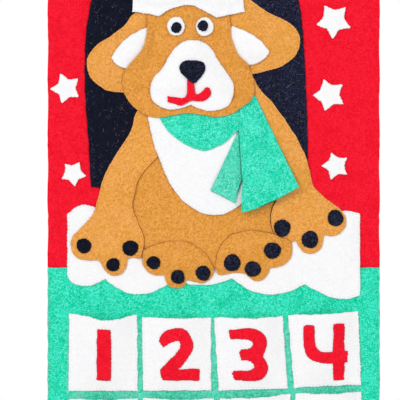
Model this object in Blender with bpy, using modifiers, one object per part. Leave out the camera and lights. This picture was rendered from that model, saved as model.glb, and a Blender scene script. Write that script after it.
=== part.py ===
"""Felt advent calendar: a long hanging panel on a wooden rod, with a puppy in felt appliques
above twenty-four numbered day pockets. Metres, +Z up, front towards -Y.
The origin is the middle of the hanging rod."""

from math import cos, pi, radians, sin

import bmesh
import bpy
from mathutils import Matrix, Vector

# Felt and the way it is stacked
FELT = 0.0015
CLEARANCE = 0.0003
LEVEL = FELT + CLEARANCE

# Backing panel, with its top folded round the rod
PANEL_WIDTH = 0.3660
ROD_RADIUS = 0.0050
ROD_LENGTH = 0.3960
ROD_END_ROUND = 0.0015
CASING_EASE = 0.0010
CASING_SEAM_DEPTH = 0.0170

# Day pockets
COLUMNS = 4
ROWS = 6
POCKET_SIDE_MARGIN = 0.0233
POCKET_COLUMN_GAP = 0.0060
POCKET_HEIGHT = 0.0815
POCKET_ROW_GAP = 0.0060
POCKET_BOTTOM_MARGIN = 0.0060
POCKET_HEM = 0.0040
POCKET_BULGE = 0.0090
POCKET_SAG = 0.0015
FIRST_POCKET_SAG = 0.0060

# Ground pieces of the picture
GREEN_OVERLAP = 0.0540
ARCH_WIDTH = 0.2460
ARCH_HEIGHT = 0.3160
ARCH_OFFSET_X = -0.0192
ARCH_GAP = 0.0195
ARCH_HEADROOM = 0.0290
SNOW_WIDTH = 0.3230
SNOW_HEIGHT = 0.1040
SNOW_RISE = 0.0190
STAR_RADIUS = 0.0170
STAR_WAIST_SHARE = 0.60

# The panel is as long as what it carries, from the rod's middle down
CASING_DROP = CASING_SEAM_DEPTH + ROD_RADIUS + CASING_EASE + FELT
PICTURE_DROP = ARCH_HEADROOM + ARCH_HEIGHT + ARCH_GAP + SNOW_HEIGHT + SNOW_RISE
POCKETS_DROP = ROWS * POCKET_HEIGHT + (ROWS - 1) * POCKET_ROW_GAP + POCKET_BOTTOM_MARGIN
PANEL_DROP = CASING_DROP + PICTURE_DROP + POCKETS_DROP

# Puppy
TORSO_WIDTH = 0.1870
TORSO_HEIGHT = 0.1890
TORSO_OFFSET_X = -0.0118
TORSO_LAP = 0.0690
ARM_LEFT_WIDTH = 0.1075
ARM_LEFT_HEIGHT = 0.1895
ARM_RIGHT_WIDTH = 0.1135
ARM_RIGHT_HEIGHT = 0.1955
FOOT_LEFT_WIDTH = 0.0800
FOOT_LEFT_HEIGHT = 0.0530
FOOT_RIGHT_WIDTH = 0.0850
FOOT_RIGHT_HEIGHT = 0.0560
FOOT_GAP = 0.0015
TOE_PAD_RADIUS = 0.0078
TOE_PAD_HEIGHT = 0.0016
TOE_PAD_SIDES = 20
BIB_WIDTH = 0.1250
BIB_HEIGHT = 0.1260
HEAD_WIDTH = 0.1455
HEAD_HEIGHT = 0.1385
EAR_LEFT_WIDTH = 0.0720
EAR_LEFT_HEIGHT = 0.0885
EAR_RIGHT_WIDTH = 0.0840
EAR_RIGHT_HEIGHT = 0.0900
LINING_LEFT_WIDTH = 0.0440
LINING_LEFT_HEIGHT = 0.0465
LINING_RIGHT_WIDTH = 0.0470
LINING_RIGHT_HEIGHT = 0.0435
MUZZLE_WIDTH = 0.0930
MUZZLE_HEIGHT = 0.0780
MOUTH_WIDTH = 0.0485
MOUTH_HEIGHT = 0.0300
NOSE_WIDTH = 0.0290
NOSE_HEIGHT = 0.0255
EYE_WIDTH = 0.0212
EYE_HEIGHT = 0.0218
PUPIL_RADIUS = 0.0060

# Santa hat
BRIM_WIDTH = 0.1245
BRIM_HEIGHT = 0.0460
CROWN_WIDTH = 0.1350
CROWN_HEIGHT = 0.0890
POMPOM_RADIUS = 0.0160
POMPOM_DEPTH = 0.0060

# Scarf
COLLAR_WIDTH = 0.1250
COLLAR_HEIGHT = 0.0650
LONG_TAIL_WIDTH = 0.0650
LONG_TAIL_HEIGHT = 0.0885
SHORT_TAIL_WIDTH = 0.0320
SHORT_TAIL_HEIGHT = 0.0780
TAIL_GAP = 0.0005

# Colour, roughness of each felt
RED = (0.86, 0.012, 0.030, 1.0)
GREEN = (0.010, 0.680, 0.430, 1.0)
GREEN_SHADE = (0.055, 0.600, 0.400, 1.0)
TAN = (0.830, 0.350, 0.070, 1.0)
NAVY = (0.008, 0.009, 0.024, 1.0)
WHITE = (0.930, 0.930, 0.940, 1.0)
WOOD = (0.560, 0.360, 0.190, 1.0)
FELT_ROUGHNESS = 0.95
WOOD_ROUGHNESS = 0.55

CORNER = "corner"

# Outlines as shares of each piece's width and height, from its lower left
ARCH_SHARES = (
    (0.027, 0.000, CORNER), (0.016, 0.165), (0.003, 0.300), (0.000, 0.430), (0.012, 0.580),
    (0.070, 0.750), (0.165, 0.880), (0.310, 0.970), (0.480, 1.000), (0.670, 0.968),
    (0.820, 0.875), (0.910, 0.765), (0.960, 0.650), (0.982, 0.490), (0.993, 0.320),
    (1.000, 0.130), (1.000, 0.000, CORNER),
)
SNOW_SHARES = (
    (0.000, 0.90, CORNER), (0.03, 0.98), (0.07, 1.00), (0.12, 0.93), (0.155, 0.82, CORNER),
    (0.20, 0.89), (0.26, 0.90), (0.31, 0.85), (0.35, 0.76, CORNER), (0.40, 0.82), (0.465, 0.84),
    (0.53, 0.80), (0.575, 0.71, CORNER), (0.62, 0.82), (0.685, 0.88), (0.745, 0.87),
    (0.825, 0.71, CORNER), (0.855, 0.80), (0.90, 0.90), (0.95, 0.94), (1.00, 0.91, CORNER),
    (1.00, 0.04, CORNER), (0.95, 0.00), (0.90, 0.02), (0.85, 0.09), (0.81, 0.16, CORNER),
    (0.77, 0.095), (0.70, 0.05), (0.63, 0.085), (0.56, 0.225, CORNER), (0.53, 0.18),
    (0.46, 0.15), (0.41, 0.165), (0.37, 0.215, CORNER), (0.33, 0.13), (0.25, 0.05),
    (0.18, 0.10), (0.13, 0.215, CORNER), (0.10, 0.165), (0.06, 0.14), (0.02, 0.17),
    (0.00, 0.25, CORNER),
)
TORSO_SHARES = (
    (0.25, 0.95), (0.12, 0.80), (0.03, 0.60), (0.00, 0.38), (0.05, 0.17), (0.19, 0.035),
    (0.50, 0.00), (0.82, 0.035), (0.96, 0.17), (1.00, 0.35), (0.95, 0.62), (0.83, 0.88),
    (0.68, 0.985), (0.45, 1.00),
)
ARM_LEFT_SHARES = (
    (0.84, 1.00), (0.69, 0.965), (0.62, 0.845), (0.48, 0.720), (0.34, 0.575), (0.265, 0.420),
    (0.225, 0.355), (0.110, 0.282), (0.025, 0.230), (0.00, 0.180), (0.060, 0.108),
    (0.160, 0.090), (0.293, 0.093, CORNER), (0.330, 0.050), (0.390, 0.013), (0.450, 0.00),
    (0.540, 0.018), (0.586, 0.095, CORNER), (0.640, 0.106), (0.700, 0.100), (0.750, 0.145),
    (0.750, 0.235), (0.685, 0.325), (0.642, 0.400), (0.668, 0.490), (0.720, 0.580),
    (0.850, 0.663), (0.980, 0.756), (1.00, 0.850), (0.960, 0.955),
)
ARM_RIGHT_SHARES = (
    (0.000, 0.950), (0.090, 1.000), (0.140, 0.947), (0.275, 0.862), (0.415, 0.752),
    (0.545, 0.632), (0.640, 0.500), (0.685, 0.388), (0.735, 0.350), (0.875, 0.285),
    (0.980, 0.230), (1.000, 0.170), (0.955, 0.122), (0.890, 0.103), (0.785, 0.107, CORNER),
    (0.770, 0.050), (0.715, 0.010), (0.655, 0.000), (0.580, 0.016), (0.510, 0.076, CORNER),
    (0.460, 0.063), (0.400, 0.073), (0.305, 0.112), (0.265, 0.188), (0.282, 0.265),
    (0.317, 0.305), (0.280, 0.385), (0.200, 0.560), (0.080, 0.760),
)
FOOT_LEFT_SHARES = (
    (0.010, 0.560), (0.020, 0.800, CORNER), (0.120, 0.880), (0.250, 0.945), (0.480, 1.000),
    (0.700, 0.930), (0.860, 0.760), (0.970, 0.530), (1.000, 0.360), (0.960, 0.210),
    (0.860, 0.115), (0.750, 0.138), (0.621, 0.175, CORNER), (0.590, 0.060), (0.480, 0.000),
    (0.370, 0.060), (0.316, 0.278, CORNER), (0.180, 0.280), (0.060, 0.390),
)
FOOT_RIGHT_SHARES = (
    (0.005, 0.420), (0.050, 0.650), (0.150, 0.855), (0.280, 0.960), (0.480, 1.000),
    (0.700, 0.955), (0.850, 0.862), (0.960, 0.800), (1.000, 0.640), (0.955, 0.420),
    (0.855, 0.298), (0.707, 0.263, CORNER), (0.680, 0.130), (0.600, 0.022), (0.530, 0.000),
    (0.450, 0.055), (0.394, 0.145, CORNER), (0.260, 0.168), (0.140, 0.135), (0.045, 0.118),
    (0.000, 0.280),
)
BIB_SHARES = (
    (0.000, 0.870, CORNER), (0.048, 0.646), (0.119, 0.451), (0.215, 0.245), (0.350, 0.094),
    (0.520, 0.006), (0.640, 0.002), (0.780, 0.062), (0.900, 0.190), (0.980, 0.430),
    (1.000, 0.625), (0.970, 0.850), (0.860, 0.965), (0.500, 1.000), (0.170, 0.975),
)
HEAD_SHARES = (
    (0.497, 1.000), (0.300, 0.970), (0.200, 0.870), (0.186, 0.690), (0.157, 0.554),
    (0.069, 0.439), (0.009, 0.354), (0.001, 0.240), (0.055, 0.122), (0.116, 0.060),
    (0.191, 0.012), (0.279, 0.000), (0.440, 0.028), (0.512, 0.034), (0.600, 0.020),
    (0.757, 0.007), (0.893, 0.071), (1.000, 0.186), (0.998, 0.270), (0.958, 0.410),
    (0.871, 0.511), (0.825, 0.639), (0.815, 0.800), (0.780, 0.910), (0.670, 0.980),
)
EAR_LEFT_SHARES = (
    (0.909, 1.000), (0.720, 0.980), (0.605, 0.861), (0.400, 0.720), (0.197, 0.616),
    (0.050, 0.495), (0.000, 0.350), (0.050, 0.200), (0.200, 0.075), (0.373, 0.011),
    (0.537, 0.000), (0.665, 0.010), (0.830, 0.300), (0.970, 0.590), (1.000, 0.838),
)
EAR_RIGHT_SHARES = (
    (0.052, 0.780), (0.150, 0.985), (0.262, 0.990), (0.400, 0.893), (0.600, 0.768),
    (0.809, 0.677), (0.940, 0.580), (1.000, 0.437), (0.965, 0.295), (0.850, 0.170),
    (0.680, 0.090), (0.520, 0.050), (0.388, 0.025), (0.275, 0.000), (0.157, 0.098),
    (0.052, 0.317), (0.000, 0.585),
)
LINING_LEFT_SHARES = (
    (0.896, 1.000, CORNER), (0.640, 0.880), (0.381, 0.730), (0.150, 0.490),
    (0.000, 0.265, CORNER), (0.150, 0.090), (0.381, 0.000), (0.580, 0.040), (0.800, 0.250),
    (0.960, 0.550), (1.000, 0.900),
)
LINING_RIGHT_SHARES = (
    (0.121, 1.000, CORNER), (0.410, 0.876), (0.700, 0.695), (0.880, 0.510),
    (1.000, 0.326, CORNER), (0.880, 0.155), (0.700, 0.050), (0.466, 0.000), (0.260, 0.120),
    (0.090, 0.340), (0.000, 0.620), (0.010, 0.890),
)
MUZZLE_SHARES = (
    (0.522, 1.000), (0.420, 0.990), (0.284, 0.877), (0.146, 0.608), (0.043, 0.465),
    (0.000, 0.290), (0.040, 0.140), (0.150, 0.040), (0.270, 0.017), (0.400, 0.043),
    (0.483, 0.086, CORNER), (0.600, 0.018), (0.740, 0.000), (0.890, 0.038), (0.965, 0.145),
    (1.000, 0.330), (0.931, 0.513), (0.808, 0.718), (0.730, 0.885), (0.620, 0.980),
)
MOUTH_SHARES = (
    (0.461, 1.000, CORNER), (0.457, 0.740), (0.440, 0.450), (0.391, 0.312), (0.193, 0.324),
    (0.000, 0.386, CORNER), (0.018, 0.150, CORNER), (0.164, 0.092), (0.309, 0.000),
    (0.440, 0.110), (0.570, 0.200), (0.730, 0.165), (0.870, 0.215), (1.000, 0.489),
    (0.918, 0.690), (0.780, 0.520), (0.673, 0.434), (0.625, 0.560), (0.618, 0.800),
    (0.614, 1.000, CORNER),
)
NOSE_SHARES = (
    (0.111, 0.927), (0.267, 0.983), (0.500, 1.000), (0.756, 0.979), (0.950, 0.860),
    (0.990, 0.650), (0.874, 0.355), (0.729, 0.158), (0.561, 0.000), (0.380, 0.095),
    (0.187, 0.312), (0.030, 0.540), (0.010, 0.780),
)
BRIM_SHARES = (
    (0.000, 0.144, CORNER), (0.080, 0.127), (0.236, 0.031, CORNER), (0.299, 0.139),
    (0.390, 0.250), (0.480, 0.298), (0.570, 0.259), (0.670, 0.110), (0.744, 0.000, CORNER),
    (0.850, 0.062), (1.000, 0.141, CORNER), (0.985, 0.450), (0.957, 0.796, CORNER),
    (0.744, 0.940), (0.514, 1.000), (0.249, 0.940), (0.024, 0.796, CORNER), (0.012, 0.450),
)
CROWN_SHARES = (
    (0.004, 0.025, CORNER), (0.000, 0.210), (0.036, 0.444), (0.125, 0.716), (0.304, 0.938),
    (0.522, 1.000), (0.700, 0.932), (0.862, 0.765), (1.000, 0.506), (0.927, 0.481),
    (0.850, 0.543), (0.801, 0.494), (0.794, 0.346), (0.794, 0.012, CORNER), (0.619, 0.000),
    (0.409, 0.074), (0.215, 0.000),
)
COLLAR_HINGE_SHARE = 0.33
COLLAR_SHARES = (
    (0.000, 0.590, CORNER), (0.030, 0.470), (0.120, 0.260), (0.270, 0.075), (0.390, 0.000),
    (0.520, 0.070), (0.614, 0.190), (0.685, COLLAR_HINGE_SHARE, CORNER),
    (1.000, COLLAR_HINGE_SHARE, CORNER), (0.855, 0.925, CORNER), (0.770, 1.000),
    (0.680, 0.850), (0.540, 0.760), (0.360, 0.760), (0.170, 0.745),
)
LONG_TAIL_SHARES = (
    (0.000, 1.000, CORNER), (0.540, 1.000, CORNER), (0.780, 0.660), (1.000, 0.325, CORNER),
    (0.660, 0.170), (0.330, 0.035), (0.000, 0.000, CORNER),
)
SHORT_TAIL_SHARES = (
    (0.930, 1.000, CORNER), (1.000, 1.000, CORNER), (1.000, 0.320, CORNER),
    (0.830, 0.000, CORNER), (0.420, 0.105), (0.000, 0.180, CORNER),
)
EYE_SHARES = ((0.50, 1.00), (0.08, 0.70), (0.12, 0.20), (0.50, 0.00), (0.90, 0.22), (0.93, 0.72))

# Where a piece's middle lies, as shares of the piece it is sewn to; a pad's third value is
# its size as a share of the plain pad's
PADS_ARM_LEFT_SHARES = ((0.139, 0.175, 1.07), (0.438, 0.065, 0.97), (0.614, 0.162, 1.13))
PADS_ARM_RIGHT_SHARES = ((0.381, 0.146, 1.22), (0.650, 0.082, 1.22), (0.897, 0.203, 1.16))
PADS_FOOT_LEFT_SHARES = ((0.169, 0.539, 0.97), (0.502, 0.243, 1.01), (0.849, 0.322, 1.08))
PADS_FOOT_RIGHT_SHARES = ((0.216, 0.363, 1.22), (0.483, 0.242, 1.14), (0.737, 0.605, 1.20))
EYE_LEFT_SHARES = (0.405, 0.725)
EYE_RIGHT_SHARES = (0.622, 0.722)
PUPIL_LEFT_SHARES = (0.53, 0.42, 1.0)
PUPIL_RIGHT_SHARES = (0.42, 0.53, 1.0)
MUZZLE_PLACE_SHARES = (0.528, 0.333)
MOUTH_PLACE_SHARES = (0.465, 0.260)
NOSE_PLACE_SHARES = (0.505, 0.548)
BRIM_PLACE_SHARES = (0.500, 0.958)
CROWN_PLACE_SHARES = (0.590, 1.226)
POMPOM_PLACE_SHARES = (0.965, 0.490)
EAR_LEFT_PLACE_SHARES = (-0.023, 0.522)
EAR_RIGHT_PLACE_SHARES = (1.058, 0.659)
LINING_LEFT_PLACE_SHARES = (0.678, 0.551)
LINING_RIGHT_PLACE_SHARES = (0.321, 0.369)

# Each star's place on the arch's box, its size as a share of the plain star's, and its turn
STARS_LEFT_SHARES = (
    (-0.051, 0.048, 0.87, radians(-29)), (-0.084, 0.345, 1.03, radians(21)),
    (-0.040, 0.722, 0.95, radians(-14)), (0.085, 0.975, 1.00, radians(8)))
STARS_RIGHT_SHARES = (
    (1.124, 0.074, 0.94, radians(18)), (1.096, 0.322, 1.11, radians(20)),
    (1.116, 0.581, 1.18, radians(31)), (1.000, 0.880, 1.00, radians(-10)))

# Levels, counted forward from the backing panel
GROUND_LEVEL = 1
SNOW_LEVEL = 2
TORSO_LEVEL = 3
ARM_LEVEL = 4
FOOT_LEVEL = 5
SHORT_TAIL_LEVEL = 6
COLLAR_LEVEL = 7
HEAD_LEVEL = 8
FACE_LEVEL = 9
FEATURE_LEVEL = 10
NOSE_LEVEL = 11
EAR_LEVEL = 6
LINING_LEVEL = 7

# Mesh fineness
OUTLINE_STEPS = 3
CASING_STEPS = 12
POCKET_CELLS_ACROSS = 6
POCKET_CELLS_UP = 4

for leftover in list(bpy.data.objects):
    bpy.data.objects.remove(leftover, do_unlink=True)

calendar = bpy.data.collections.new("felt_advent_calendar")
bpy.context.scene.collection.children.link(calendar)
helpers = bpy.data.collections.new("helpers")
helpers.hide_render = True
bpy.context.scene.collection.children.link(helpers)


def material(name, colour, roughness):
    made = bpy.data.materials.new(name)
    made.use_nodes = True
    shader = made.node_tree.nodes["Principled BSDF"]
    shader.inputs["Base Color"].default_value = colour
    shader.inputs["Roughness"].default_value = roughness
    shader.inputs["Metallic"].default_value = 0.0
    return made


red_felt = material("red_felt", RED, FELT_ROUGHNESS)
green_felt = material("green_felt", GREEN, FELT_ROUGHNESS)
green_shade_felt = material("green_shade_felt", GREEN_SHADE, FELT_ROUGHNESS)
tan_felt = material("tan_felt", TAN, FELT_ROUGHNESS)
navy_felt = material("navy_felt", NAVY, FELT_ROUGHNESS)
white_felt = material("white_felt", WHITE, FELT_ROUGHNESS)
rod_wood = material("rod_wood", WOOD, WOOD_ROUGHNESS)


def finish(piece, felt):
    """Puts a piece in the calendar's collection with its material."""
    for collection in list(piece.users_collection):
        collection.objects.unlink(piece)
    calendar.objects.link(piece)
    piece.data.materials.clear()
    piece.data.materials.append(felt)
    return piece


def depth_of(level):
    """The middle of a felt layer, counted forward from the backing."""
    return -level * LEVEL


class Box:
    """The box on the wall plane that an outline's shares are taken of."""

    def __init__(self, centre_x, centre_z, width, height):
        self.centre_x = centre_x
        self.centre_z = centre_z
        self.width = width
        self.height = height

    @property
    def left(self):
        return self.centre_x - self.width / 2

    @property
    def right(self):
        return self.centre_x + self.width / 2

    @property
    def bottom(self):
        return self.centre_z - self.height / 2

    @property
    def top(self):
        return self.centre_z + self.height / 2

    def at(self, shares):
        """A point inside the box, as x and z."""
        return self.left + shares[0] * self.width, self.bottom + shares[1] * self.height

    def inner(self, shares, width, height):
        """A smaller box whose middle lies at these shares of this one."""
        x, z = self.at(shares)
        return Box(x, z, width, height)


def add_loop(curve, points):
    """Adds one closed loop; a point marked as a corner keeps straight handles there."""
    loop = curve.splines.new("BEZIER")
    loop.bezier_points.add(len(points) - 1)
    loop.use_cyclic_u = True
    for bezier, point in zip(loop.bezier_points, points):
        bezier.co = (point[0], point[1], 0)
        kind = "VECTOR" if len(point) > 2 else "AUTO"
        bezier.handle_left_type = kind
        bezier.handle_right_type = kind
    return loop


def sheet(name, box, shares, level, felt, pivot=None):
    """A flat piece of felt with the given outline, lying on one level of the stack."""
    origin = pivot or Vector((box.centre_x, depth_of(level), box.centre_z))
    curve = bpy.data.curves.new(name, "CURVE")
    curve.dimensions = "2D"
    curve.fill_mode = "BOTH"
    curve.extrude = FELT / 2
    curve.offset = 0
    curve.resolution_u = OUTLINE_STEPS
    points = []
    for share in shares:
        x, z = box.at(share)
        points.append((x - origin.x, z - origin.z) + share[2:])
    add_loop(curve, points)
    piece = bpy.data.objects.new(name, curve)
    calendar.objects.link(piece)
    piece.location = origin
    piece.rotation_euler = (radians(90), 0, 0)
    if pivot:
        # The pivot lies on the collar's front face, so the felt itself starts behind it.
        curve.transform(Matrix.Translation((0, 0, pivot.y - depth_of(level))))
    curve.materials.append(felt)
    return piece


def ring_shares(sides, inner=None):
    """Unit points round a circle; with an inner radius, a star."""
    found = []
    for step in range(sides):
        angle = pi / 2 + 2 * pi * step / sides
        radius = 1 if inner is None or step % 2 == 0 else inner
        found.append((0.5 + radius * cos(angle) / 2, 0.5 + radius * sin(angle) / 2))
    return found


def as_mesh(piece):
    """Replaces a curve piece by the mesh it draws, in place, so that it can be joined."""
    graph = bpy.context.evaluated_depsgraph_get()
    mesh = bpy.data.meshes.new_from_object(piece.evaluated_get(graph))
    name, felt, place = piece.name, piece.data.materials[0], piece.matrix_world.copy()
    bpy.data.objects.remove(piece, do_unlink=True)
    shape = bmesh.new()
    shape.from_mesh(mesh)
    bmesh.ops.remove_doubles(shape, verts=shape.verts, dist=CLEARANCE / 100)
    shape.to_mesh(mesh)
    shape.free()
    made = bpy.data.objects.new(name, mesh)
    calendar.objects.link(made)
    made.matrix_world = place
    mesh.materials.clear()
    mesh.materials.append(felt)
    return made


def sheet_with_pads(name, box, shares, level, felt, pads_shares, pad_radius):
    """A piece of felt with round navy pads sewn on it, as one solid."""
    carrier = sheet(name, box, shares, level, felt)
    bpy.context.view_layer.update()
    carrier = as_mesh(carrier)
    carrier.data.materials.append(navy_felt)
    depth = TOE_PAD_HEIGHT + FELT / 2
    for number, (across, up, size_share) in enumerate(pads_shares, 1):
        x, z = box.at((across, up))
        bpy.ops.mesh.primitive_cylinder_add(
            vertices=TOE_PAD_SIDES, radius=pad_radius * size_share, depth=depth,
            location=(x, depth_of(level) - depth / 2, z), rotation=(radians(90), 0, 0),
        )
        pad = bpy.context.object
        pad.name = f"{name}_pad_{number}"
        for collection in list(pad.users_collection):
            collection.objects.unlink(pad)
        helpers.objects.link(pad)
        pad.hide_render = True
        pad.display_type = "WIRE"
        pad.data.materials.append(navy_felt)
        union = carrier.modifiers.new(f"pad_{number}", "BOOLEAN")
        union.operation = "UNION"
        union.solver = "EXACT"
        union.object = pad
    return carrier


def paw(name, box, shares, level, pads_shares):
    """A tan limb with its dark toe pads."""
    return sheet_with_pads(name, box, shares, level, tan_felt, pads_shares, TOE_PAD_RADIUS)


def backing_panel():
    """The red panel in section, its top folded round the rod, drawn out across its width."""
    half = FELT / 2
    inner = ROD_RADIUS + CASING_EASE
    outer = inner + FELT
    seam = -CASING_SEAM_DEPTH
    curve = bpy.data.curves.new("backing_panel", "CURVE")
    curve.dimensions = "2D"
    curve.fill_mode = "BOTH"
    curve.extrude = PANEL_WIDTH / 2
    curve.resolution_u = OUTLINE_STEPS
    outside = [(half, -PANEL_DROP, CORNER), (half, -CASING_DROP, CORNER)]
    inside = [(0, seam, CORNER)]
    for step in range(CASING_STEPS + 1):
        angle = -pi / 6 + (2 * pi - 2 * pi / 3) * step / CASING_STEPS
        outside.append((outer * cos(angle), outer * sin(angle)))
        inside.append((inner * cos(angle), inner * sin(angle)))
    outside += [(-half, -CASING_DROP, CORNER), (-half, -PANEL_DROP, CORNER)]
    add_loop(curve, outside)
    add_loop(curve, inside)
    panel = bpy.data.objects.new("backing_panel", curve)
    calendar.objects.link(panel)
    panel.rotation_euler = (radians(90), 0, radians(90))
    curve.materials.append(red_felt)
    return panel


def hanging_rod():
    """A plain round wooden rod with softened ends, sliding in the casing."""
    bpy.ops.mesh.primitive_cylinder_add(
        vertices=32, radius=ROD_RADIUS, depth=ROD_LENGTH, rotation=(0, radians(90), 0)
    )
    rod = bpy.context.object
    rod.name = "hanging_rod"
    bpy.ops.object.transform_apply(location=False, rotation=True, scale=True)
    bevel = rod.modifiers.new("soft_ends", "BEVEL")
    bevel.width = ROD_END_ROUND
    bevel.segments = 2
    bevel.limit_method = "ANGLE"
    bevel.angle_limit = radians(60)
    return finish(rod, rod_wood)


def pocket(number, box, sag):
    """One day pocket: flat hems at the sides and bottom, bulging forward at its mouth."""
    bpy.ops.mesh.primitive_grid_add(
        x_subdivisions=POCKET_CELLS_ACROSS + 2, y_subdivisions=POCKET_CELLS_UP + 1, size=1
    )
    piece = bpy.context.object
    piece.name = f"pocket_{number:02d}"
    hem_x = POCKET_HEM / box.width
    hem_z = POCKET_HEM / box.height
    across = [0] + [hem_x + (1 - 2 * hem_x) * k / POCKET_CELLS_ACROSS
                    for k in range(POCKET_CELLS_ACROSS + 1)] + [1]
    up = [0] + [hem_z + (1 - hem_z) * k / POCKET_CELLS_UP for k in range(POCKET_CELLS_UP + 1)]
    for vertex in piece.data.vertices:
        column = round((vertex.co.x + 1 / 2) * (len(across) - 1))
        row = round((vertex.co.y + 1 / 2) * (len(up) - 1))
        belly = max(0, sin(pi * (across[column] - hem_x) / (1 - 2 * hem_x)))
        belly = belly if 0 < column < len(across) - 1 else 0
        rise = max(0, (up[row] - hem_z) / (1 - hem_z))
        forward = POCKET_BULGE * belly**0.75 * sin(rise * pi / 2)
        x = (across[column] - 1 / 2) * box.width
        z = (up[row] - 1 / 2) * box.height - sag * belly * rise**3
        vertex.co = (x, -forward, z)
    piece.location = (box.centre_x, depth_of(SNOW_LEVEL), box.centre_z)
    thick = piece.modifiers.new("felt", "SOLIDIFY")
    thick.thickness = FELT
    thick.offset = 0
    thick.use_even_offset = True
    for face in piece.data.polygons:
        face.use_smooth = True
    return finish(piece, white_felt)


def day_pockets():
    """Four columns and six rows of pockets; returns the top of the first row."""
    spare = PANEL_WIDTH - 2 * POCKET_SIDE_MARGIN - (COLUMNS - 1) * POCKET_COLUMN_GAP
    width = spare / COLUMNS
    lowest = -PANEL_DROP + POCKET_BOTTOM_MARGIN
    pitch_x = width + POCKET_COLUMN_GAP
    pitch_z = POCKET_HEIGHT + POCKET_ROW_GAP
    first_x = -PANEL_WIDTH / 2 + POCKET_SIDE_MARGIN + width / 2
    first_z = lowest + (ROWS - 1) * pitch_z + POCKET_HEIGHT / 2
    for number in range(1, COLUMNS * ROWS + 1):
        row, column = divmod(number - 1, COLUMNS)
        box = Box(first_x + column * pitch_x, first_z - row * pitch_z, width, POCKET_HEIGHT)
        pocket(number, box, FIRST_POCKET_SAG if number == 1 else POCKET_SAG)
    return first_z + POCKET_HEIGHT / 2


def ground(pockets_top):
    """The green lower panel, the snow bank over its top and the night-blue arch."""
    green_top = pockets_top + GREEN_OVERLAP
    green = Box(0, (green_top - PANEL_DROP) / 2, PANEL_WIDTH, green_top + PANEL_DROP)
    square_shares = ((0, 0, CORNER), (1, 0, CORNER), (1, 1, CORNER), (0, 1, CORNER))
    sheet("green_panel", green, square_shares, GROUND_LEVEL, green_felt)
    snow_bottom = pockets_top + SNOW_RISE
    snow = Box(0, snow_bottom + SNOW_HEIGHT / 2, SNOW_WIDTH, SNOW_HEIGHT)
    sheet("snow_bank", snow, SNOW_SHARES, SNOW_LEVEL, white_felt)
    arch_middle = snow.top + ARCH_GAP + ARCH_HEIGHT / 2
    arch = Box(ARCH_OFFSET_X, arch_middle, ARCH_WIDTH, ARCH_HEIGHT)
    sheet("arch_panel", arch, ARCH_SHARES, GROUND_LEVEL, navy_felt)
    return snow, arch


def stars(arch):
    """White stars up each side of the arch, the upper ones following its curve."""
    for side, places in (("left", STARS_LEFT_SHARES), ("right", STARS_RIGHT_SHARES)):
        for number, (across, up, size_share, turn) in enumerate(places, 1):
            size = 2 * STAR_RADIUS * size_share
            box = arch.inner((across, up), size, size)
            shares = []
            for x, z in ring_shares(10, STAR_WAIST_SHARE):
                dx, dz = x - 1 / 2, z - 1 / 2
                shares.append((1 / 2 + dx * cos(turn) - dz * sin(turn),
                               1 / 2 + dx * sin(turn) + dz * cos(turn), CORNER))
            sheet(f"star_{side}_{number}", box, shares, GROUND_LEVEL, white_felt)


def puppy_body(snow):
    """Torso, arms, feet and the white bib; returns the torso's box."""
    torso = Box(TORSO_OFFSET_X, snow.top - TORSO_LAP + TORSO_HEIGHT / 2, TORSO_WIDTH, TORSO_HEIGHT)
    sheet("torso", torso, TORSO_SHARES, TORSO_LEVEL, tan_felt)
    left = torso.inner((0.007, 0.453), ARM_LEFT_WIDTH, ARM_LEFT_HEIGHT)
    paw("arm_left", left, ARM_LEFT_SHARES, ARM_LEVEL, PADS_ARM_LEFT_SHARES)
    right = torso.inner((1.038, 0.596), ARM_RIGHT_WIDTH, ARM_RIGHT_HEIGHT)
    paw("arm_right", right, ARM_RIGHT_SHARES, ARM_LEVEL, PADS_ARM_RIGHT_SHARES)
    split_x, _ = torso.at((0.569, 0))
    _, left_z = torso.at((0, 0.018))
    _, right_z = torso.at((0, 0.069))
    foot = Box(split_x - (FOOT_GAP + FOOT_LEFT_WIDTH) / 2, left_z, FOOT_LEFT_WIDTH, FOOT_LEFT_HEIGHT)
    paw("foot_left", foot, FOOT_LEFT_SHARES, FOOT_LEVEL, PADS_FOOT_LEFT_SHARES)
    foot = Box(split_x + (FOOT_GAP + FOOT_RIGHT_WIDTH) / 2, right_z, FOOT_RIGHT_WIDTH,
               FOOT_RIGHT_HEIGHT)
    paw("foot_right", foot, FOOT_RIGHT_SHARES, FOOT_LEVEL, PADS_FOOT_RIGHT_SHARES)
    bib = torso.inner((0.507, 0.638), BIB_WIDTH, BIB_HEIGHT)
    sheet("belly_bib", bib, BIB_SHARES, FOOT_LEVEL, white_felt)
    return torso


def scarf(torso):
    """Collar and two loose tails, each tail turning about the line where it leaves the collar."""
    collar = torso.inner((0.574, 0.852), COLLAR_WIDTH, COLLAR_HEIGHT)
    sheet("scarf_collar", collar, COLLAR_SHARES, COLLAR_LEVEL, green_felt)
    hinge_x, hinge_z = collar.at((0.7185, COLLAR_HINGE_SHARE))
    top = hinge_z - CLEARANCE
    long_box = Box(hinge_x + (TAIL_GAP + LONG_TAIL_WIDTH) / 2, top - LONG_TAIL_HEIGHT / 2,
                   LONG_TAIL_WIDTH, LONG_TAIL_HEIGHT)
    pivot = Vector((hinge_x, depth_of(COLLAR_LEVEL) - FELT / 2, hinge_z))
    sheet("scarf_tail_long", long_box, LONG_TAIL_SHARES, COLLAR_LEVEL, green_felt, pivot)
    short_box = Box(hinge_x - (TAIL_GAP + SHORT_TAIL_WIDTH) / 2, top - SHORT_TAIL_HEIGHT / 2,
                    SHORT_TAIL_WIDTH, SHORT_TAIL_HEIGHT)
    sheet("scarf_tail_short", short_box, SHORT_TAIL_SHARES, SHORT_TAIL_LEVEL, green_shade_felt,
          pivot)


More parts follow.
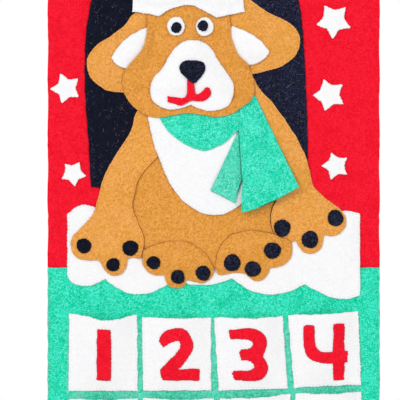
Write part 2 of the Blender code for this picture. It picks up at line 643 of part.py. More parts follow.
def head(torso):
    """Head, ears with white linings, muzzle, eyes, mouth and nose; returns the head's box."""
    face = torso.inner((0.414, 1.239), HEAD_WIDTH, HEAD_HEIGHT)
    sheet("head", face, HEAD_SHARES, HEAD_LEVEL, tan_felt)
    ear = face.inner(EAR_LEFT_PLACE_SHARES, EAR_LEFT_WIDTH, EAR_LEFT_HEIGHT)
    sheet("ear_left", ear, EAR_LEFT_SHARES, EAR_LEVEL, tan_felt)
    lining = ear.inner(LINING_LEFT_PLACE_SHARES, LINING_LEFT_WIDTH, LINING_LEFT_HEIGHT)
    sheet("ear_lining_left", lining, LINING_LEFT_SHARES, LINING_LEVEL, white_felt)
    ear = face.inner(EAR_RIGHT_PLACE_SHARES, EAR_RIGHT_WIDTH, EAR_RIGHT_HEIGHT)
    sheet("ear_right", ear, EAR_RIGHT_SHARES, EAR_LEVEL, tan_felt)
    lining = ear.inner(LINING_RIGHT_PLACE_SHARES, LINING_RIGHT_WIDTH, LINING_RIGHT_HEIGHT)
    sheet("ear_lining_right", lining, LINING_RIGHT_SHARES, LINING_LEVEL, white_felt)
    muzzle = face.inner(MUZZLE_PLACE_SHARES, MUZZLE_WIDTH, MUZZLE_HEIGHT)
    sheet("muzzle", muzzle, MUZZLE_SHARES, FACE_LEVEL, white_felt)
    mouth = muzzle.inner(MOUTH_PLACE_SHARES, MOUTH_WIDTH, MOUTH_HEIGHT)
    sheet("mouth", mouth, MOUTH_SHARES, FEATURE_LEVEL, red_felt)
    nose = muzzle.inner(NOSE_PLACE_SHARES, NOSE_WIDTH, NOSE_HEIGHT)
    sheet("nose", nose, NOSE_SHARES, NOSE_LEVEL, navy_felt)
    for side, place, pupil_place in (("left", EYE_LEFT_SHARES, PUPIL_LEFT_SHARES),
                                     ("right", EYE_RIGHT_SHARES, PUPIL_RIGHT_SHARES)):
        eye = face.inner(place, EYE_WIDTH, EYE_HEIGHT)
        sheet_with_pads(f"eye_{side}", eye, EYE_SHARES, FACE_LEVEL, white_felt, (pupil_place,),
                        PUPIL_RADIUS)
    return face


def santa_hat(face):
    """White brim, red crown drooping to the right, and a stuffed felt pompom."""
    brim = face.inner(BRIM_PLACE_SHARES, BRIM_WIDTH, BRIM_HEIGHT)
    sheet("hat_brim", brim, BRIM_SHARES, FEATURE_LEVEL, white_felt)
    crown = face.inner(CROWN_PLACE_SHARES, CROWN_WIDTH, CROWN_HEIGHT)
    sheet("hat_crown", crown, CROWN_SHARES, FACE_LEVEL, red_felt)
    x, z = crown.at(POMPOM_PLACE_SHARES)
    bpy.ops.mesh.primitive_uv_sphere_add(segments=20, ring_count=10, radius=POMPOM_RADIUS)
    ball = bpy.context.object
    ball.name = "hat_pompom"
    ball.scale = (1, POMPOM_DEPTH / POMPOM_RADIUS, 1)
    bpy.ops.object.transform_apply(location=False, rotation=False, scale=True)
    front_of_crown = depth_of(FACE_LEVEL) - FELT / 2 - CLEARANCE
    ball.location = (x, front_of_crown - POMPOM_DEPTH, z)
    bpy.ops.object.shade_smooth()
    return finish(ball, white_felt)


backing_panel()
hanging_rod()
snow_box, arch_box = ground(day_pockets())
stars(arch_box)
torso_box = puppy_body(snow_box)
scarf(torso_box)
santa_hat(head(torso_box))
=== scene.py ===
"""Looks of the felt advent calendar: hand-cut felt pieces laid over one another, sewn down and
numbered, hanging from a wooden rod. Metres, in the frame of the CAD model, front towards -Y."""

from math import cos, pi, radians, sin

import bpy
import numpy as np
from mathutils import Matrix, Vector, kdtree
from mathutils.geometry import delaunay_2d_cdt

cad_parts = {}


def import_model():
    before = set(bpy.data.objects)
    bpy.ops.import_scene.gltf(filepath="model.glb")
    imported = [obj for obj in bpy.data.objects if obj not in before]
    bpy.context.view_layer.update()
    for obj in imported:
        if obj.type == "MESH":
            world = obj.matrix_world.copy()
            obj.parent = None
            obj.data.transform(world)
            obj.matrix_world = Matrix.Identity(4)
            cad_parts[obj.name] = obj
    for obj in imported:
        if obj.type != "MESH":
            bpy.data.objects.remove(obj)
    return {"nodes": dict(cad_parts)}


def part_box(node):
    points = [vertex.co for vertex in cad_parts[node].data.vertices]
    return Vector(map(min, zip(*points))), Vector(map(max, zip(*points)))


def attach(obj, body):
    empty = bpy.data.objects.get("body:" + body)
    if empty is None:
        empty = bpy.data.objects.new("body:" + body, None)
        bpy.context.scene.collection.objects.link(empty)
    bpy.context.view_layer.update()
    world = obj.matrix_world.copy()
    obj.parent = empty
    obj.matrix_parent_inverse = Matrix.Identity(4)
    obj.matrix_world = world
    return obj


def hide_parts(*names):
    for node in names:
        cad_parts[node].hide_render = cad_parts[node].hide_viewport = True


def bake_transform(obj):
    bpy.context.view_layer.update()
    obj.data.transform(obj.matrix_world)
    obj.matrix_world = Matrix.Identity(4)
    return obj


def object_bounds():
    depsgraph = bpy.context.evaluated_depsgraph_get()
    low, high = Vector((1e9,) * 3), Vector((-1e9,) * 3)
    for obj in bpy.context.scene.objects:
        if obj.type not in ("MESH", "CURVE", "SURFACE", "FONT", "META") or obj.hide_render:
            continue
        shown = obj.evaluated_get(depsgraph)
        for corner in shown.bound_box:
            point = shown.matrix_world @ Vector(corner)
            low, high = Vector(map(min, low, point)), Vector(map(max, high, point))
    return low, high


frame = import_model()
cad_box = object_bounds()
nodes = frame["nodes"]
random = np.random.default_rng(24)

# Felt, in metres
FELT = 0.0015
NUMERAL_FELT = 0.0011
LAYER_GAP = 0.00022
DOME_SLOPE = 0.20
NET_SPACING = 0.0032
RIM_WIDTH = 0.0014
RIM_TRIES = 7
# The rings of a soft rim from front to back: shares of the rim's width and of the felt's
# thickness, how much of the rim tone it takes, which is painted highlight mixed with pale fibres, and
# its share of the painted shade along the edge
RIM_RINGS = ((0.46, 1.0, 0.75, 0.45), (0.17, 0.87, 1.0, 1.0), (0.0, 0.50, 1.0, 1.0),
             (0.17, 0.13, 1.0, 1.0))

# Photograph: where its pixels lie on the wall plane
PIXEL = 0.0011
AXIS_PX = 213.75
ROD_PY = -148.7
MIDDLE_PX = 200.0
FRAME_PX = 400.0
CAMERA_DISTANCE = 2.5
CAMERA_FOCUS_DEPTH = 0.008

# Pockets, panel and the tails' hinge, as in the CAD model
POCKETS = [f"pocket_{number:02d}" for number in range(1, 25)]
POCKET_BULGE = 0.0090
POCKET_HEM = 0.0040
PANEL_LOW, PANEL_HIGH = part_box("backing_panel")
HINGE_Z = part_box("scarf_tail_long")[1].z
HINGE_BLEND = 0.0045


def spot(px, py):
    """The place on the wall plane that a pixel of the photograph shows, as x and z."""
    return (px - AXIS_PX) * PIXEL, -(py - ROD_PY) * PIXEL


def given(made, **settings):
    for key, value in settings.items():
        setattr(made, key, value)
    return made


def written(outline, place):
    """The places of points that are written as x,y. place makes one from the two numbers."""
    return [np.array(place(*(float(n) for n in word.rstrip("c").split(","))))
            for word in outline.split()]


def shown(name, data, **settings):
    """A new object in the scene, with its settings."""
    made = bpy.data.objects.new(name, data)
    bpy.context.scene.collection.objects.link(made)
    return given(made, **settings)


def solid(name, points, faces, material):
    mesh = bpy.data.meshes.new(name)
    mesh.from_pydata(points, [], faces)
    mesh.shade_smooth()
    mesh.materials.append(material)
    return shown(name, mesh)


# Loops in the wall plane

SHARP_TURN = radians(38)


def chained(edges):
    """Closed loops of vertex numbers from edges that have a direction."""
    follow = dict(edges)
    loops = []
    while follow:
        first, at = follow.popitem()
        loop = [first]
        while at != first:
            loop.append(at)
            at = follow.pop(at)
        loops.append(loop)
    return loops


def flat_loops(node, side):
    """The loops round a CAD node's flat faces at its back or at its very front, as x and z."""
    mesh = nodes[node].data
    places = {}
    merged = [places.setdefault(tuple(np.round(v.co, 6)), len(places)) for v in mesh.vertices]
    points = list(places)
    depth = (max if side == "back" else min)(p[1] for p in points)
    seen = set()
    for polygon in mesh.polygons:
        corners = [merged[v] for v in polygon.vertices]
        if all(abs(points[c][1] - depth) < FELT / 100 for c in corners):
            for a, b in zip(corners, corners[1:] + corners[:1]):
                seen.discard((b, a)) if (b, a) in seen else seen.add((a, b))
    return [np.array([(points[v][0], points[v][2]) for v in loop]) for loop in chained(seen)]


def before(loop):
    return np.roll(loop, 1, axis=0)


def after(loop):
    return np.roll(loop, -1, axis=0)


def signed_area(loop):
    ahead = after(loop)
    return float((loop[:, 0] * ahead[:, 1] - ahead[:, 0] * loop[:, 1]).sum() / 2)


def turned(loops):
    """The loops with the outline, which is the first, anticlockwise and the holes clockwise."""
    return [loop if (signed_area(loop) > 0) == (k == 0) else loop[::-1]
            for k, loop in enumerate(loops)]


def extent(loops):
    """The least and the greatest x and z."""
    points = np.concatenate(loops)
    return points.min(axis=0), points.max(axis=0)


def lengths(loop):
    return np.linalg.norm(after(loop) - loop, axis=1)


def travelled(loop):
    """How far round the loop each point lies, and how long the loop is."""
    run = np.concatenate([[0], np.cumsum(lengths(loop))])
    return run[:-1], run[-1]


def evenly(loop, step):
    """Points along a loop about one step apart that keep its corners, and which are corners."""
    ahead = after(loop) - loop
    angle = np.arctan2(ahead[:, 1], ahead[:, 0])
    turn = np.abs((angle - before(angle) + pi) % (2 * pi) - pi)
    points, sharp = [], []
    for start, way, length, bend in zip(loop, ahead, lengths(loop), turn):
        count = max(1, round(length / step))
        points += [start + way * k / count for k in range(count)]
        sharp += [bend > SHARP_TURN] + [False] * (count - 1)
    return np.array(points), np.array(sharp)


def wave(run, whole, turns, height):
    """A wave round a loop, which starts anywhere."""
    return height * np.sin(2 * pi * turns * run / whole + random.uniform(0, 2 * pi))


def unit(vectors):
    return vectors / np.maximum(np.linalg.norm(vectors, axis=1, keepdims=True), 1e-9)


def outward(loop):
    """Unit normals out of a loop that runs anticlockwise, or out of the felt beside a hole."""
    along = after(loop) - before(loop)
    return unit(np.stack([along[:, 1], -along[:, 0]], axis=1))


def soft_outward(loop):
    """The outward normals, each evened out with its neighbours."""
    normal = outward(loop)
    return unit(normal * 2 + before(normal) + after(normal))


def hand_cut(loop, step=0.0015, soft=12, wander=0.00020, nibble=0.00013, hold=0.12):
    """The loop as scissors leave it: rounded between corners, wandering and slightly furred."""
    fine, sharp = evenly(loop, step / 3)
    yielding = np.where(sharp, hold, 1.0)[:, None]
    for _ in range(soft):
        middle = (before(fine) + after(fine)) / 2
        fine = fine + (middle - fine) * yielding / 2
    run, whole = travelled(fine)
    shift = np.zeros(len(fine))
    for length, height in ((0.024, wander), (0.011, wander / 2), (0.0042, nibble)):
        turns = max(1, round(whole / length))
        for extra in (0, 1):
            shift += wave(run, whole, turns + extra, height * 0.7)
    shift += random.normal(0, nibble * 0.6, len(fine))
    fine = fine + outward(fine) * shift[:, None]
    keep = max(1, len(fine) // max(8, round(whole / step)))
    return fine[::keep] if len(fine) // keep >= 8 else fine


def inside(x, z, loops):
    """Which places lie in the felt that the loops bound, holes left out."""
    found = np.zeros(x.shape, bool)
    for loop in loops:
        for (ax, az), (bx, bz) in zip(loop, after(loop)):
            if az != bz:
                crossing = (z < az) != (z < bz)
                found ^= crossing & (x < (bx - ax) * (z - az) / (bz - az) + ax)
    return found


def search_tree(loops):
    points = np.concatenate(loops)
    tree = kdtree.KDTree(len(points))
    for number, (x, z) in enumerate(points):
        tree.insert((x, z, 0), number)
    tree.balance()
    return tree


def rim_distance(x, z, loops):
    """How far each place is from the loops' nearest point."""
    tree = search_tree(loops)
    return np.array([tree.find((a, b, 0))[2] for a, b in zip(x, z)])


# The relief: how far forward the felt that is already laid reaches, on a grid of the wall plane

CELL = 0.001
GRID_CORNER = np.array((-0.190, -1.060))
GRID_LAST = np.array((380, 1080))
GRID_SPARE = 0.012
HANG_TOP = -0.03
HANG_LENGTH = 0.45
# Height, length, start and slant of the hanging panel's waves
HANG_WAVES = ((0.0011, 0.23, 0.6, 1.9), (0.0005, 0.097, 1.7, 6.0))


def ease(share):
    share = np.clip(share, 0, 1)
    return share * share * (3 - 2 * share)


def hang(x, z):
    """How far the hanging panel waves forward, more towards its bottom."""
    slack = ease((HANG_TOP - z) / HANG_LENGTH)
    return slack * sum(height * np.sin(2 * pi * x / length + start + slant * z)
                       for height, length, start, slant in HANG_WAVES)


grid_x, grid_z = (corner + CELL * np.arange(last + 1)
                  for corner, last in zip(GRID_CORNER, GRID_LAST))
relief = FELT / 2 + hang(grid_x[None, :], grid_z[:, None])


def grid_part(loops):
    """The part of the grid round some loops, its places, and which of them lie inside."""
    low, high = extent(loops)
    first = np.clip((low - GRID_SPARE - GRID_CORNER) / CELL, 0, GRID_LAST).astype(int)
    last = np.clip((high + GRID_SPARE - GRID_CORNER) / CELL, 0, GRID_LAST).astype(int)
    columns, rows = (slice(a, b + 1) for a, b in zip(first, last))
    x, z = np.meshgrid(grid_x[columns], grid_z[rows])
    return (rows, columns), x, z, inside(x, z, loops)


def read_grid(field, x, z, left=GRID_CORNER[0], bottom=GRID_CORNER[1]):
    """A grid's value between its points."""
    column = np.clip((x - left) / CELL, 0, field.shape[1] - 1.001)
    row = np.clip((z - bottom) / CELL, 0, field.shape[0] - 1.001)
    i, j = column.astype(int), row.astype(int)
    u, v = column - i, row - j
    low = field[j, i] * (1 - u) + field[j, i + 1] * u
    high = field[j + 1, i] * (1 - u) + field[j + 1, i + 1] * u
    return low * (1 - v) + high * v


def on_top(x, z):
    """The back of a small piece that lies flat on whatever is there."""
    return read_grid(relief, x, z) + LAYER_GAP


def covered(x, z, own):
    """Where something lies over felt whose front is that far forward."""
    return read_grid(relief, x, z) > own + FELT / 3


def neighbours(field, reach, axis):
    """A grid moved by each number of cells up to its reach, either way, its edge repeated."""
    wide = np.pad(field, [(reach, reach) if a == axis else (0, 0) for a in (0, 1)], "edge")
    return [wide.take(range(k, k + field.shape[axis]), axis) for k in range(2 * reach + 1)]


def spread_high(field, cells):
    """Each cell takes the highest value within some cells of it."""
    for axis in (0, 1):
        field = np.max(neighbours(field, cells, axis), axis=0)
    return field


def blurred(field, cells):
    """A grid softened over some cells."""
    reach = int(3 * cells)
    weights = np.exp(-0.5 * (np.arange(-reach, reach + 1) / cells) ** 2)
    weights /= weights.sum()
    for axis in (0, 1):
        field = sum(w * near for w, near in zip(weights, neighbours(field, reach, axis)))
    return field


def drape(loops, cad_depth, slope=DOME_SLOPE):
    """The back of a piece of felt laid on the relief, sewn down at its rim and rising to the
    CAD model's depth; returns a reader of it, and lays it on the relief."""
    part, x, z, within = grid_part(loops)
    reach = np.zeros(x.shape)
    reach[within] = rim_distance(x[within], z[within], loops)
    under = relief[part]
    support = blurred(spread_high(under, 2), 1.3) + LAYER_GAP
    lift = np.minimum(np.maximum(cad_depth - support, 0), slope * reach)
    back = np.maximum(support + blurred(lift, 3.0), spread_high(under, 1) + LAYER_GAP)
    relief[part] = np.where(within, back + FELT, under)
    left, bottom = x[0, 0], z[0, 0]
    return lambda x, z: read_grid(back, x, z, left, bottom)


# Felt pieces


def rim_widths(loop):
    """How wide the soft rim may be at each point, less where the felt is narrow."""
    run, whole = travelled(loop)
    tree = search_tree([loop])
    widths = np.full(len(loop), RIM_WIDTH)
    for number, (x, z) in enumerate(loop):
        for _, other, distance in tree.find_range((x, z, 0), 3 * RIM_WIDTH):
            apart = abs(run[number] - run[other])
            if min(apart, whole - apart) > 1.18 * distance + RIM_WIDTH / 100:
                widths[number] = min(widths[number], 0.36 * distance)
    for _ in range(3):
        widths = np.minimum(widths, (before(widths) + after(widths)) / 2 + RIM_WIDTH / 8)
    return widths


def filling(loops, spacing):
    """Points inside the loops on a slightly uneven triangular net."""
    low, high = extent(loops)
    made = []
    for row, z in enumerate(np.arange(low[1], high[1], spacing * 0.866)):
        xs = np.arange(low[0] + (row % 2) * spacing / 2, high[0], spacing)
        made.append(np.stack([xs, np.full(len(xs), z)], axis=1))
    points = np.concatenate(made)
    points = points + random.uniform(-0.12, 0.12, points.shape) * spacing
    points = points[inside(*points.T, loops)]
    return points[rim_distance(*points.T, loops) > 0.55 * spacing]


def felt_mesh(name, loops, back, material, felt, spacing, seam):
    """A closed sheet of felt between its back and its front, with a soft rim whose tone is painted
    highlight mixed with pale fibres, and painted shade along its cut edge.
    back gives how far forward its back lies at x and z."""
    loops = turned(loops)
    widths = [rim_widths(loop) for loop in loops]
    inward = [-soft_outward(loop) for loop in loops]

    def drawn_in(share):
        return [loop + way * width[:, None] * share
                for loop, way, width in zip(loops, inward, widths)]

    def raised(flat, share):
        x, z = flat.T
        return np.stack([x, -(back(x, z) + felt * share), z], axis=1)

    filled = filling(drawn_in(1), spacing)
    edges, start = [], 0
    for loop in loops:
        edges += [(start + k, start + (k + 1) % len(loop)) for k in range(len(loop))]
        start += len(loop)
    for _ in range(RIM_TRIES):
        inner = drawn_in(1)
        found, _, triangles, origin, _, _ = delaunay_2d_cdt(
            [tuple(p) for p in np.concatenate(inner + [filled])], edges, [], 0, 1e-7)
        crossings = [np.array(p) for p, sources in zip(found, origin) if not sources]
        if not crossings:
            break
        for loop, width in zip(loops, widths):
            for crossing in crossings:
                width[np.linalg.norm(loop - crossing, axis=1) < 2 * RIM_WIDTH] *= 0.6
    found = np.array([tuple(p) for p in found])
    triangles = np.array(triangles)
    triangles = triangles[inside(*found[triangles].mean(axis=1).T, inner)]
    place = {source: number for number, sources in enumerate(origin) for source in sources}
    count = len(found)
    points = [raised(found, 1), raised(found, 0)]
    wear_and_light, strengths, tones = [np.zeros(2 * count)], [np.zeros(2 * count)], [np.zeros((2 * count, 3))]
    faces = [tuple(t) for t in triangles] + [tuple(t[::-1] + count) for t in triangles]
    total, start = 2 * count, 0
    for number, loop in enumerate(loops):
        size = len(loop)
        front = [place[start + k] for k in range(size)]
        # The painted contact shadow along this outline, and its share of the rim's painted highlight
        tone, strength, width, worn_and_lit = seam_line(loop, skin_number(material), seam)
        tones[0][front] = tone
        ladder = [front]
        for share, thick, rim_light, shade_share in RIM_RINGS:
            points.append(raised(drawn_in(share)[number], thick))
            wear_and_light.append(worn_and_lit * rim_light)
            tones.append(tone)
            strengths.append(strength * np.minimum(shade_share * width, 1))
            ladder.append(list(range(total, total + size)))
            total += size
        ladder.append([v + count for v in front])
        for upper, lower in zip(ladder, ladder[1:]):
            faces += zip(lower, lower[1:] + lower[:1], upper[1:] + upper[:1], upper)
        start += size
    made = solid(name, np.concatenate(points), faces, material)
    # Attributes: the rim's painted highlight, the painted shade along the edge, and that shade's
    # colour
    for key, kind, field, values in (("rim", "FLOAT", "value", wear_and_light),
                                     ("seam", "FLOAT", "value", strengths),
                                     ("seam_tone", "FLOAT_VECTOR", "vector", tones)):
        made.data.attributes.new(key, kind, "POINT").data.foreach_set(
            field, np.concatenate(values).astype(np.float32).ravel())
    return made


# Painted shade along cut edges: what is seen beside a cut edge decides how dark the painted contact
# shadow along it looks

# Each felt's tone, and the strength of the painted shade along its edge beside each felt of this
# table
FELTS = {
    "red": ("F21830", 0.3, 0.3, 0.3, 0.3, 0.1, 0.7),
    "shade": ("50DAB8", 0.3, 0.0, 0.3, 0.4, 0.1, 0.45),
    "green": ("1BDAB1", 0.4, 0.45, 0.0, 0.3, 0.1, 0.04),
    "tan": ("EBA04B", 0.3, 0.3, 0.3, 1.0, 0.0, 0.2),
    "navy": ("1B1D32", 0.5, 0.2, 0.2, 0.4, 0.0, 0.0),
    "white": ("F8F8F9", 0.4, 0.2, 0.2, 0.7, 0.0, 0.3),
}
# Painted edge shade: how far out it looks for what lies beside, how dark it is, how its colour
# deepens, and how much of the rim's painted highlight is left on the same felt
EDGE_SHADE_LOOK_OUT = 0.0016
EDGE_SHADE_DEPTH = 0.5
EDGE_SHADE_GAMMA = 1.25
SAME_FELT_RIM_LIGHT = 0.15
# Where the photograph's lines are darkest: pixel, reach in pixels, and how much darker
# These points make the painted edge shade darker there.
DARKEST_EDGE_SHADE_PX = (
    (272, 205, 13, 3.0), (240, 187, 6, 2.2), (268, 224, 9, 1.2), (158, 262, 10, 0.8),
    (131, 88, 8, 0.4), (144, 250, 12, 0.7), (228, 240, 12, 0.5), (147, 196, 14, 0.5))
skin = np.zeros(relief.shape, int)


def linear(code):
    """A colour of the photograph, written as six hexadecimal digits, as the shader takes it."""
    parts = [int(code[k:k + 2], 16) / 255 for k in (0, 2, 4)]
    return tuple(p / 12.92 if p <= 0.04045 else ((p + 0.055) / 1.055) ** 2.4 for p in parts) + (1,)


def skin_number(material):
    """Which plain colour a felt has."""
    return [name in material.name for name in FELTS].index(True)


def broken(loop):
    """How the painted edge shade comes and goes along a loop, where fuzz and stitches cover it."""
    run, whole = travelled(loop)
    share = np.full(len(loop), 0.82)
    for length, height in ((0.031, 0.22), (0.013, 0.18), (0.0053, 0.20)):
        share += wave(run, whole, max(1, round(whole / length)), height)
    return np.clip(share + random.normal(0, 0.10, len(loop)), 0.25, 1.15)


def seam_line(loop, own, seam):
    """At each point of an outline: its painted edge shade's colour, strength and width, and how much
    of the rim tone it takes, which is painted highlight mixed with pale fibres.
    """
    beside = loop + soft_outward(loop) * EDGE_SHADE_LOOK_OUT
    column, row = np.clip(np.round((beside - GRID_CORNER) / CELL).astype(int), 0, GRID_LAST).T
    ground = skin[row, column]
    tones = np.array([linear(code)[:3] for code, *_ in FELTS.values()])
    mine, theirs = tones[own][None, :], tones[ground]
    swap = (theirs.sum(axis=1) > mine.sum(axis=1))[:, None]
    darker, lighter = np.where(swap, mine, theirs), np.where(swap, theirs, mine)
    strength = np.array(list(FELTS.values())[own][1:])[ground]
    strength = (before(strength) + strength * 2 + after(strength)) / 4
    seam = np.full(len(loop), seam)
    for px, py, reach, more in DARKEST_EDGE_SHADE_PX:
        away = np.linalg.norm(loop - np.array(spot(px, py)), axis=1) / (reach * PIXEL)
        seam = seam + more * np.exp(-away**2)
    width = np.maximum(seam, 1)
    tone = (0.8 * darker + 0.2 * lighter) ** EDGE_SHADE_GAMMA * EDGE_SHADE_DEPTH / width[:, None]
    worn_and_lit = np.where(ground == own, SAME_FELT_RIM_LIGHT, 1.0)
    return tone, np.clip(strength * seam * broken(loop), 0, 1), width, worn_and_lit


laid = {}


def lay(name, loops, material, *, back, body="panel", node=None, felt=FELT,
        spacing=NET_SPACING, blend=None, seam=1.0):
    """Makes one felt piece, gives it its felt and its body, hides its CAD node and keeps its outline.
    """
    piece = felt_mesh(name, loops, back, material, felt, spacing, seam)
    part, _, _, within = grid_part(loops)
    skin[part][within] = skin_number(material)
    if node:
        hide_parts(node)
    if blend:
        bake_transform(piece)
    else:
        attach(piece, body)
    laid[name.removesuffix("_felt")] = (loops, back, felt)


def cad_level(node):
    """How far forward the back of a CAD piece lies."""
    return -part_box(node)[1].y


def cut_out(name, material, rests_on, spacing=NET_SPACING, seam=1.0, **cut):
    """A felt piece with a CAD node's outline, draped over what is laid already."""
    loops = [hand_cut(loop, **cut) for loop in flat_loops(name, "back")]
    lay(f"{name}_felt", loops, material, back=drape(loops, cad_level(name)),
        node=name, spacing=spacing, seam=seam)


# Materials


class Tree:
    """Small helper for building the nodes of a material or a world."""

    def __init__(self, made):
        self.made = made
        made.use_nodes = True
        self.nodes = made.node_tree.nodes

    def put(self, target, value):
        """Sets a node's input to a constant or a colour code, or links an output to it."""
        if isinstance(value, bpy.types.NodeSocket):
            self.made.node_tree.links.new(value, target)
        else:
            target.default_value = linear(value) if isinstance(value, str) else value

    def fill(self, node, *values, **settings):
        """Sets a node's first inputs, and its properties and inputs by name."""
        for target, value in zip(node.inputs, values):
            self.put(target, value)
        for key, value in settings.items():
            if hasattr(node, key):
                setattr(node, key, value)
            else:
                self.put(node.inputs[key.replace("_", " ")], value)
        return node

    def add(self, kind, *values, **settings):
        return self.fill(self.nodes.new(f"ShaderNode{kind}"), *values, **settings)

    def done(self, **settings):
        """The material, with its shader set."""
        self.fill(self.nodes["Principled BSDF"], **settings)
        return self.made

    def where(self):
        return self.add("TexCoord").outputs["Object"]

    def noise(self, where, scale, detail, roughness, distortion=0.0):
        return self.add("TexNoise", Vector=where, Scale=scale, Detail=detail, Roughness=roughness,
                        Distortion=distortion).outputs["Fac"]

    def ranged(self, source, low, high, to_low=0.0, to_high=1.0):
        return self.add("MapRange", interpolation_type="SMOOTHSTEP", Value=source, From_Min=low,
                        From_Max=high, To_Min=to_low, To_Max=to_high).outputs["Result"]

    def mixed(self, factor, first, second):
        node = self.add("Mix", factor, data_type="RGBA")
        self.put(node.inputs[6], first)
        self.put(node.inputs[7], second)
        return node.outputs[2]

    def sums(self, operation, first, second):
        return self.add("Math", first, second, operation=operation).outputs[0]

    def bumps(self, height, strength, distance):
        return self.add("Bump", Strength=strength, Distance=distance, Height=height).outputs[0]

    def field(self, where, low, high, soft):
        """One inside a rectangle of the wall plane, and fading out round it."""
        parts = self.add("SeparateXYZ", where)
        mask = 1.0
        for axis, least, most in (("X", low[0], high[0]), ("Z", low[1], high[1])):
            for border, level in ((least - soft, least), (most + soft, most)):
                ramp = self.ranged(parts.outputs[axis], border, level)
                mask = self.sums("MULTIPLY", ramp, mask)
        return mask

    def stretched(self, where, turn, across, along):
        """Coordinates turned in the wall plane and drawn out, so that noise forms fibres."""
        return self.add("Mapping", vector_type="TEXTURE", Rotation=(0, turn, 0), Vector=where,
                        Scale=(1 / across, 1 / across, 1 / along)).outputs["Vector"]


# A part of the wall plane by its lower left and upper right corners, its soft border, the share
# of the other tone there, and the tone
# Between the pockets the green takes a lilac-grey: pale lint over the gaps mixed with painted shade
# in them.
LINT_AND_SHADE_BORDER = 0.004
POCKET_LINT_AND_SHADE = (
    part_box("pocket_21")[0].xz,
    (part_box("pocket_04")[1].x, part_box("pocket_02")[1].z - LINT_AND_SHADE_BORDER * 2),
    LINT_AND_SHADE_BORDER, 0.16, "B4AABA")
LEFT_SHADE = ((-0.30, -0.60), (-0.09, 0.10), 0.09, 0.40, "030409")
# How fine the wool is, per metre: its specks, its clouds, and its fibres across and along
SPECKS = (900, 340)
CLOUDS = 60
FIBRES = (1150, 330)
# The turn of each layer of fibres in the wall plane, and how fine it is
FIBRE_LAYERS = ((0.35, 1.0), (1.42, 0.9), (2.45, 1.1))


def felt_material(name, tones, rim_light_share, mottle, drift_share=0.5, lint=None, patch=None):
    """Pressed wool: matted fibres of several tones running every way, soft clouds, a rim tone of
    painted highlight mixed with pale fibres, painted shade along cut edges, and where asked for, a
    patch of another tone. Its tones are the felt's, its shade's, its flecks', its rim's and those of
    its warm and cool clouds."""
    base, shade, fleck, rim, *drifts = tones.split()
    tree = Tree(bpy.data.materials.new(f"{name}_felt"))
    where = tree.where()
    fine = tree.noise(where, SPECKS[0], 2.0, 0.60, 0.3)
    medium = tree.noise(where, SPECKS[1], 2.0, 0.50, 0.6)
    strands = []
    for turn, scale in FIBRE_LAYERS:
        drawn = tree.stretched(where, turn, FIBRES[0] * scale, FIBRES[1] * scale)
        strands.append(tree.noise(drawn, 1.0, 2.0, 0.55, 0.7))
    fibres, hollows = (tree.sums(kind, tree.sums(kind, *strands[:2]), strands[2])
                       for kind in ("MAXIMUM", "MINIMUM"))
    grain = tree.sums("ADD", tree.sums("MULTIPLY", fine, 0.6), tree.sums("MULTIPLY", medium, 0.4))
    dark = tree.ranged(tree.sums("ADD", grain, hollows), 0.74, 0.98, 0.85 * mottle, 0.0)
    pale = tree.ranged(tree.sums("ADD", grain, fibres), 1.02, 1.24, 0.0, 0.85 * mottle)
    colour = tree.mixed(pale, tree.mixed(dark, base, shade), fleck)
    if drifts:
        clouds = tree.noise(where, CLOUDS, 4.0, 0.55)
        warm = tree.ranged(clouds, 0.50, 0.68, 0.0, drift_share)
        cool = tree.ranged(clouds, 0.32, 0.50, drift_share, 0.0)
        colour = tree.mixed(cool, tree.mixed(warm, colour, drifts[0]), drifts[1])
    if lint:
        colour = tree.mixed(tree.ranged(fine, 0.66, 0.74, 0.0, 0.8), colour, lint)
    if patch:
        low, high, soft, share, tone = patch
        flecks = tree.ranged(grain, 0.42, 0.58, share * 0.1, share * 1.9)
        there = tree.sums("MULTIPLY", tree.field(where, low, high, soft), flecks)
        colour = tree.mixed(there, colour, tone)
    # The rim tone is painted highlight mixed with pale fibres, darker on the red as painted shade;
    # the edge attributes paint the contact shadow along cut edges.
    edge, seam, seam_tone = (tree.add("Attribute", attribute_name=key).outputs[output] for
                             key, output in (("rim", "Fac"), ("seam", "Fac"), ("seam_tone", "Color")))
    worn_and_lit = tree.sums("MULTIPLY", tree.sums("POWER", edge, 1.6), rim_light_share)
    return tree.done(
        Base_Color=tree.mixed(seam, tree.mixed(worn_and_lit, colour, rim), seam_tone),
        Normal=tree.bumps(tree.sums("ADD", fibres, grain), 0.6, 0.0004),
        Roughness=0.95, Specular_IOR_Level=0.05, Sheen_Weight=0.03, Sheen_Roughness=0.6)


def wood_material(name):
    """Pale turned wood with grain along the rod."""
    tree = Tree(bpy.data.materials.new(name))
    drawn = tree.add("Mapping", Scale=(9, 420, 420), Vector=tree.where()).outputs["Vector"]
    grain = tree.noise(drawn, 1.0, 4.0, 0.6, 1.2)
    pores = tree.noise(drawn, 3.1, 2.0, 0.7)
    colour = tree.mixed(tree.ranged(grain, 0.35, 0.68), "D9B27C", "B98A50")
    colour = tree.mixed(tree.ranged(pores, 0.60, 0.75, 0.0, 0.6), colour, "8E6436")
    return tree.done(Base_Color=colour, Normal=tree.bumps(grain, 0.25, 0.0002),
                     Roughness=tree.ranged(grain, 0.3, 0.7, 0.50, 0.68))


def thread_material(name, code):
    """Cotton thread with a faint twist."""
    tree = Tree(bpy.data.materials.new(name))
    twist = tree.noise(tree.where(), 2600, 1.0, 0.5)
    shade = tuple(0.72 * part for part in linear(code)[:3]) + (1,)
    colour = tree.mixed(tree.ranged(twist, 0.4, 0.6), code, shade)
    return tree.done(Base_Color=colour, Roughness=0.7)


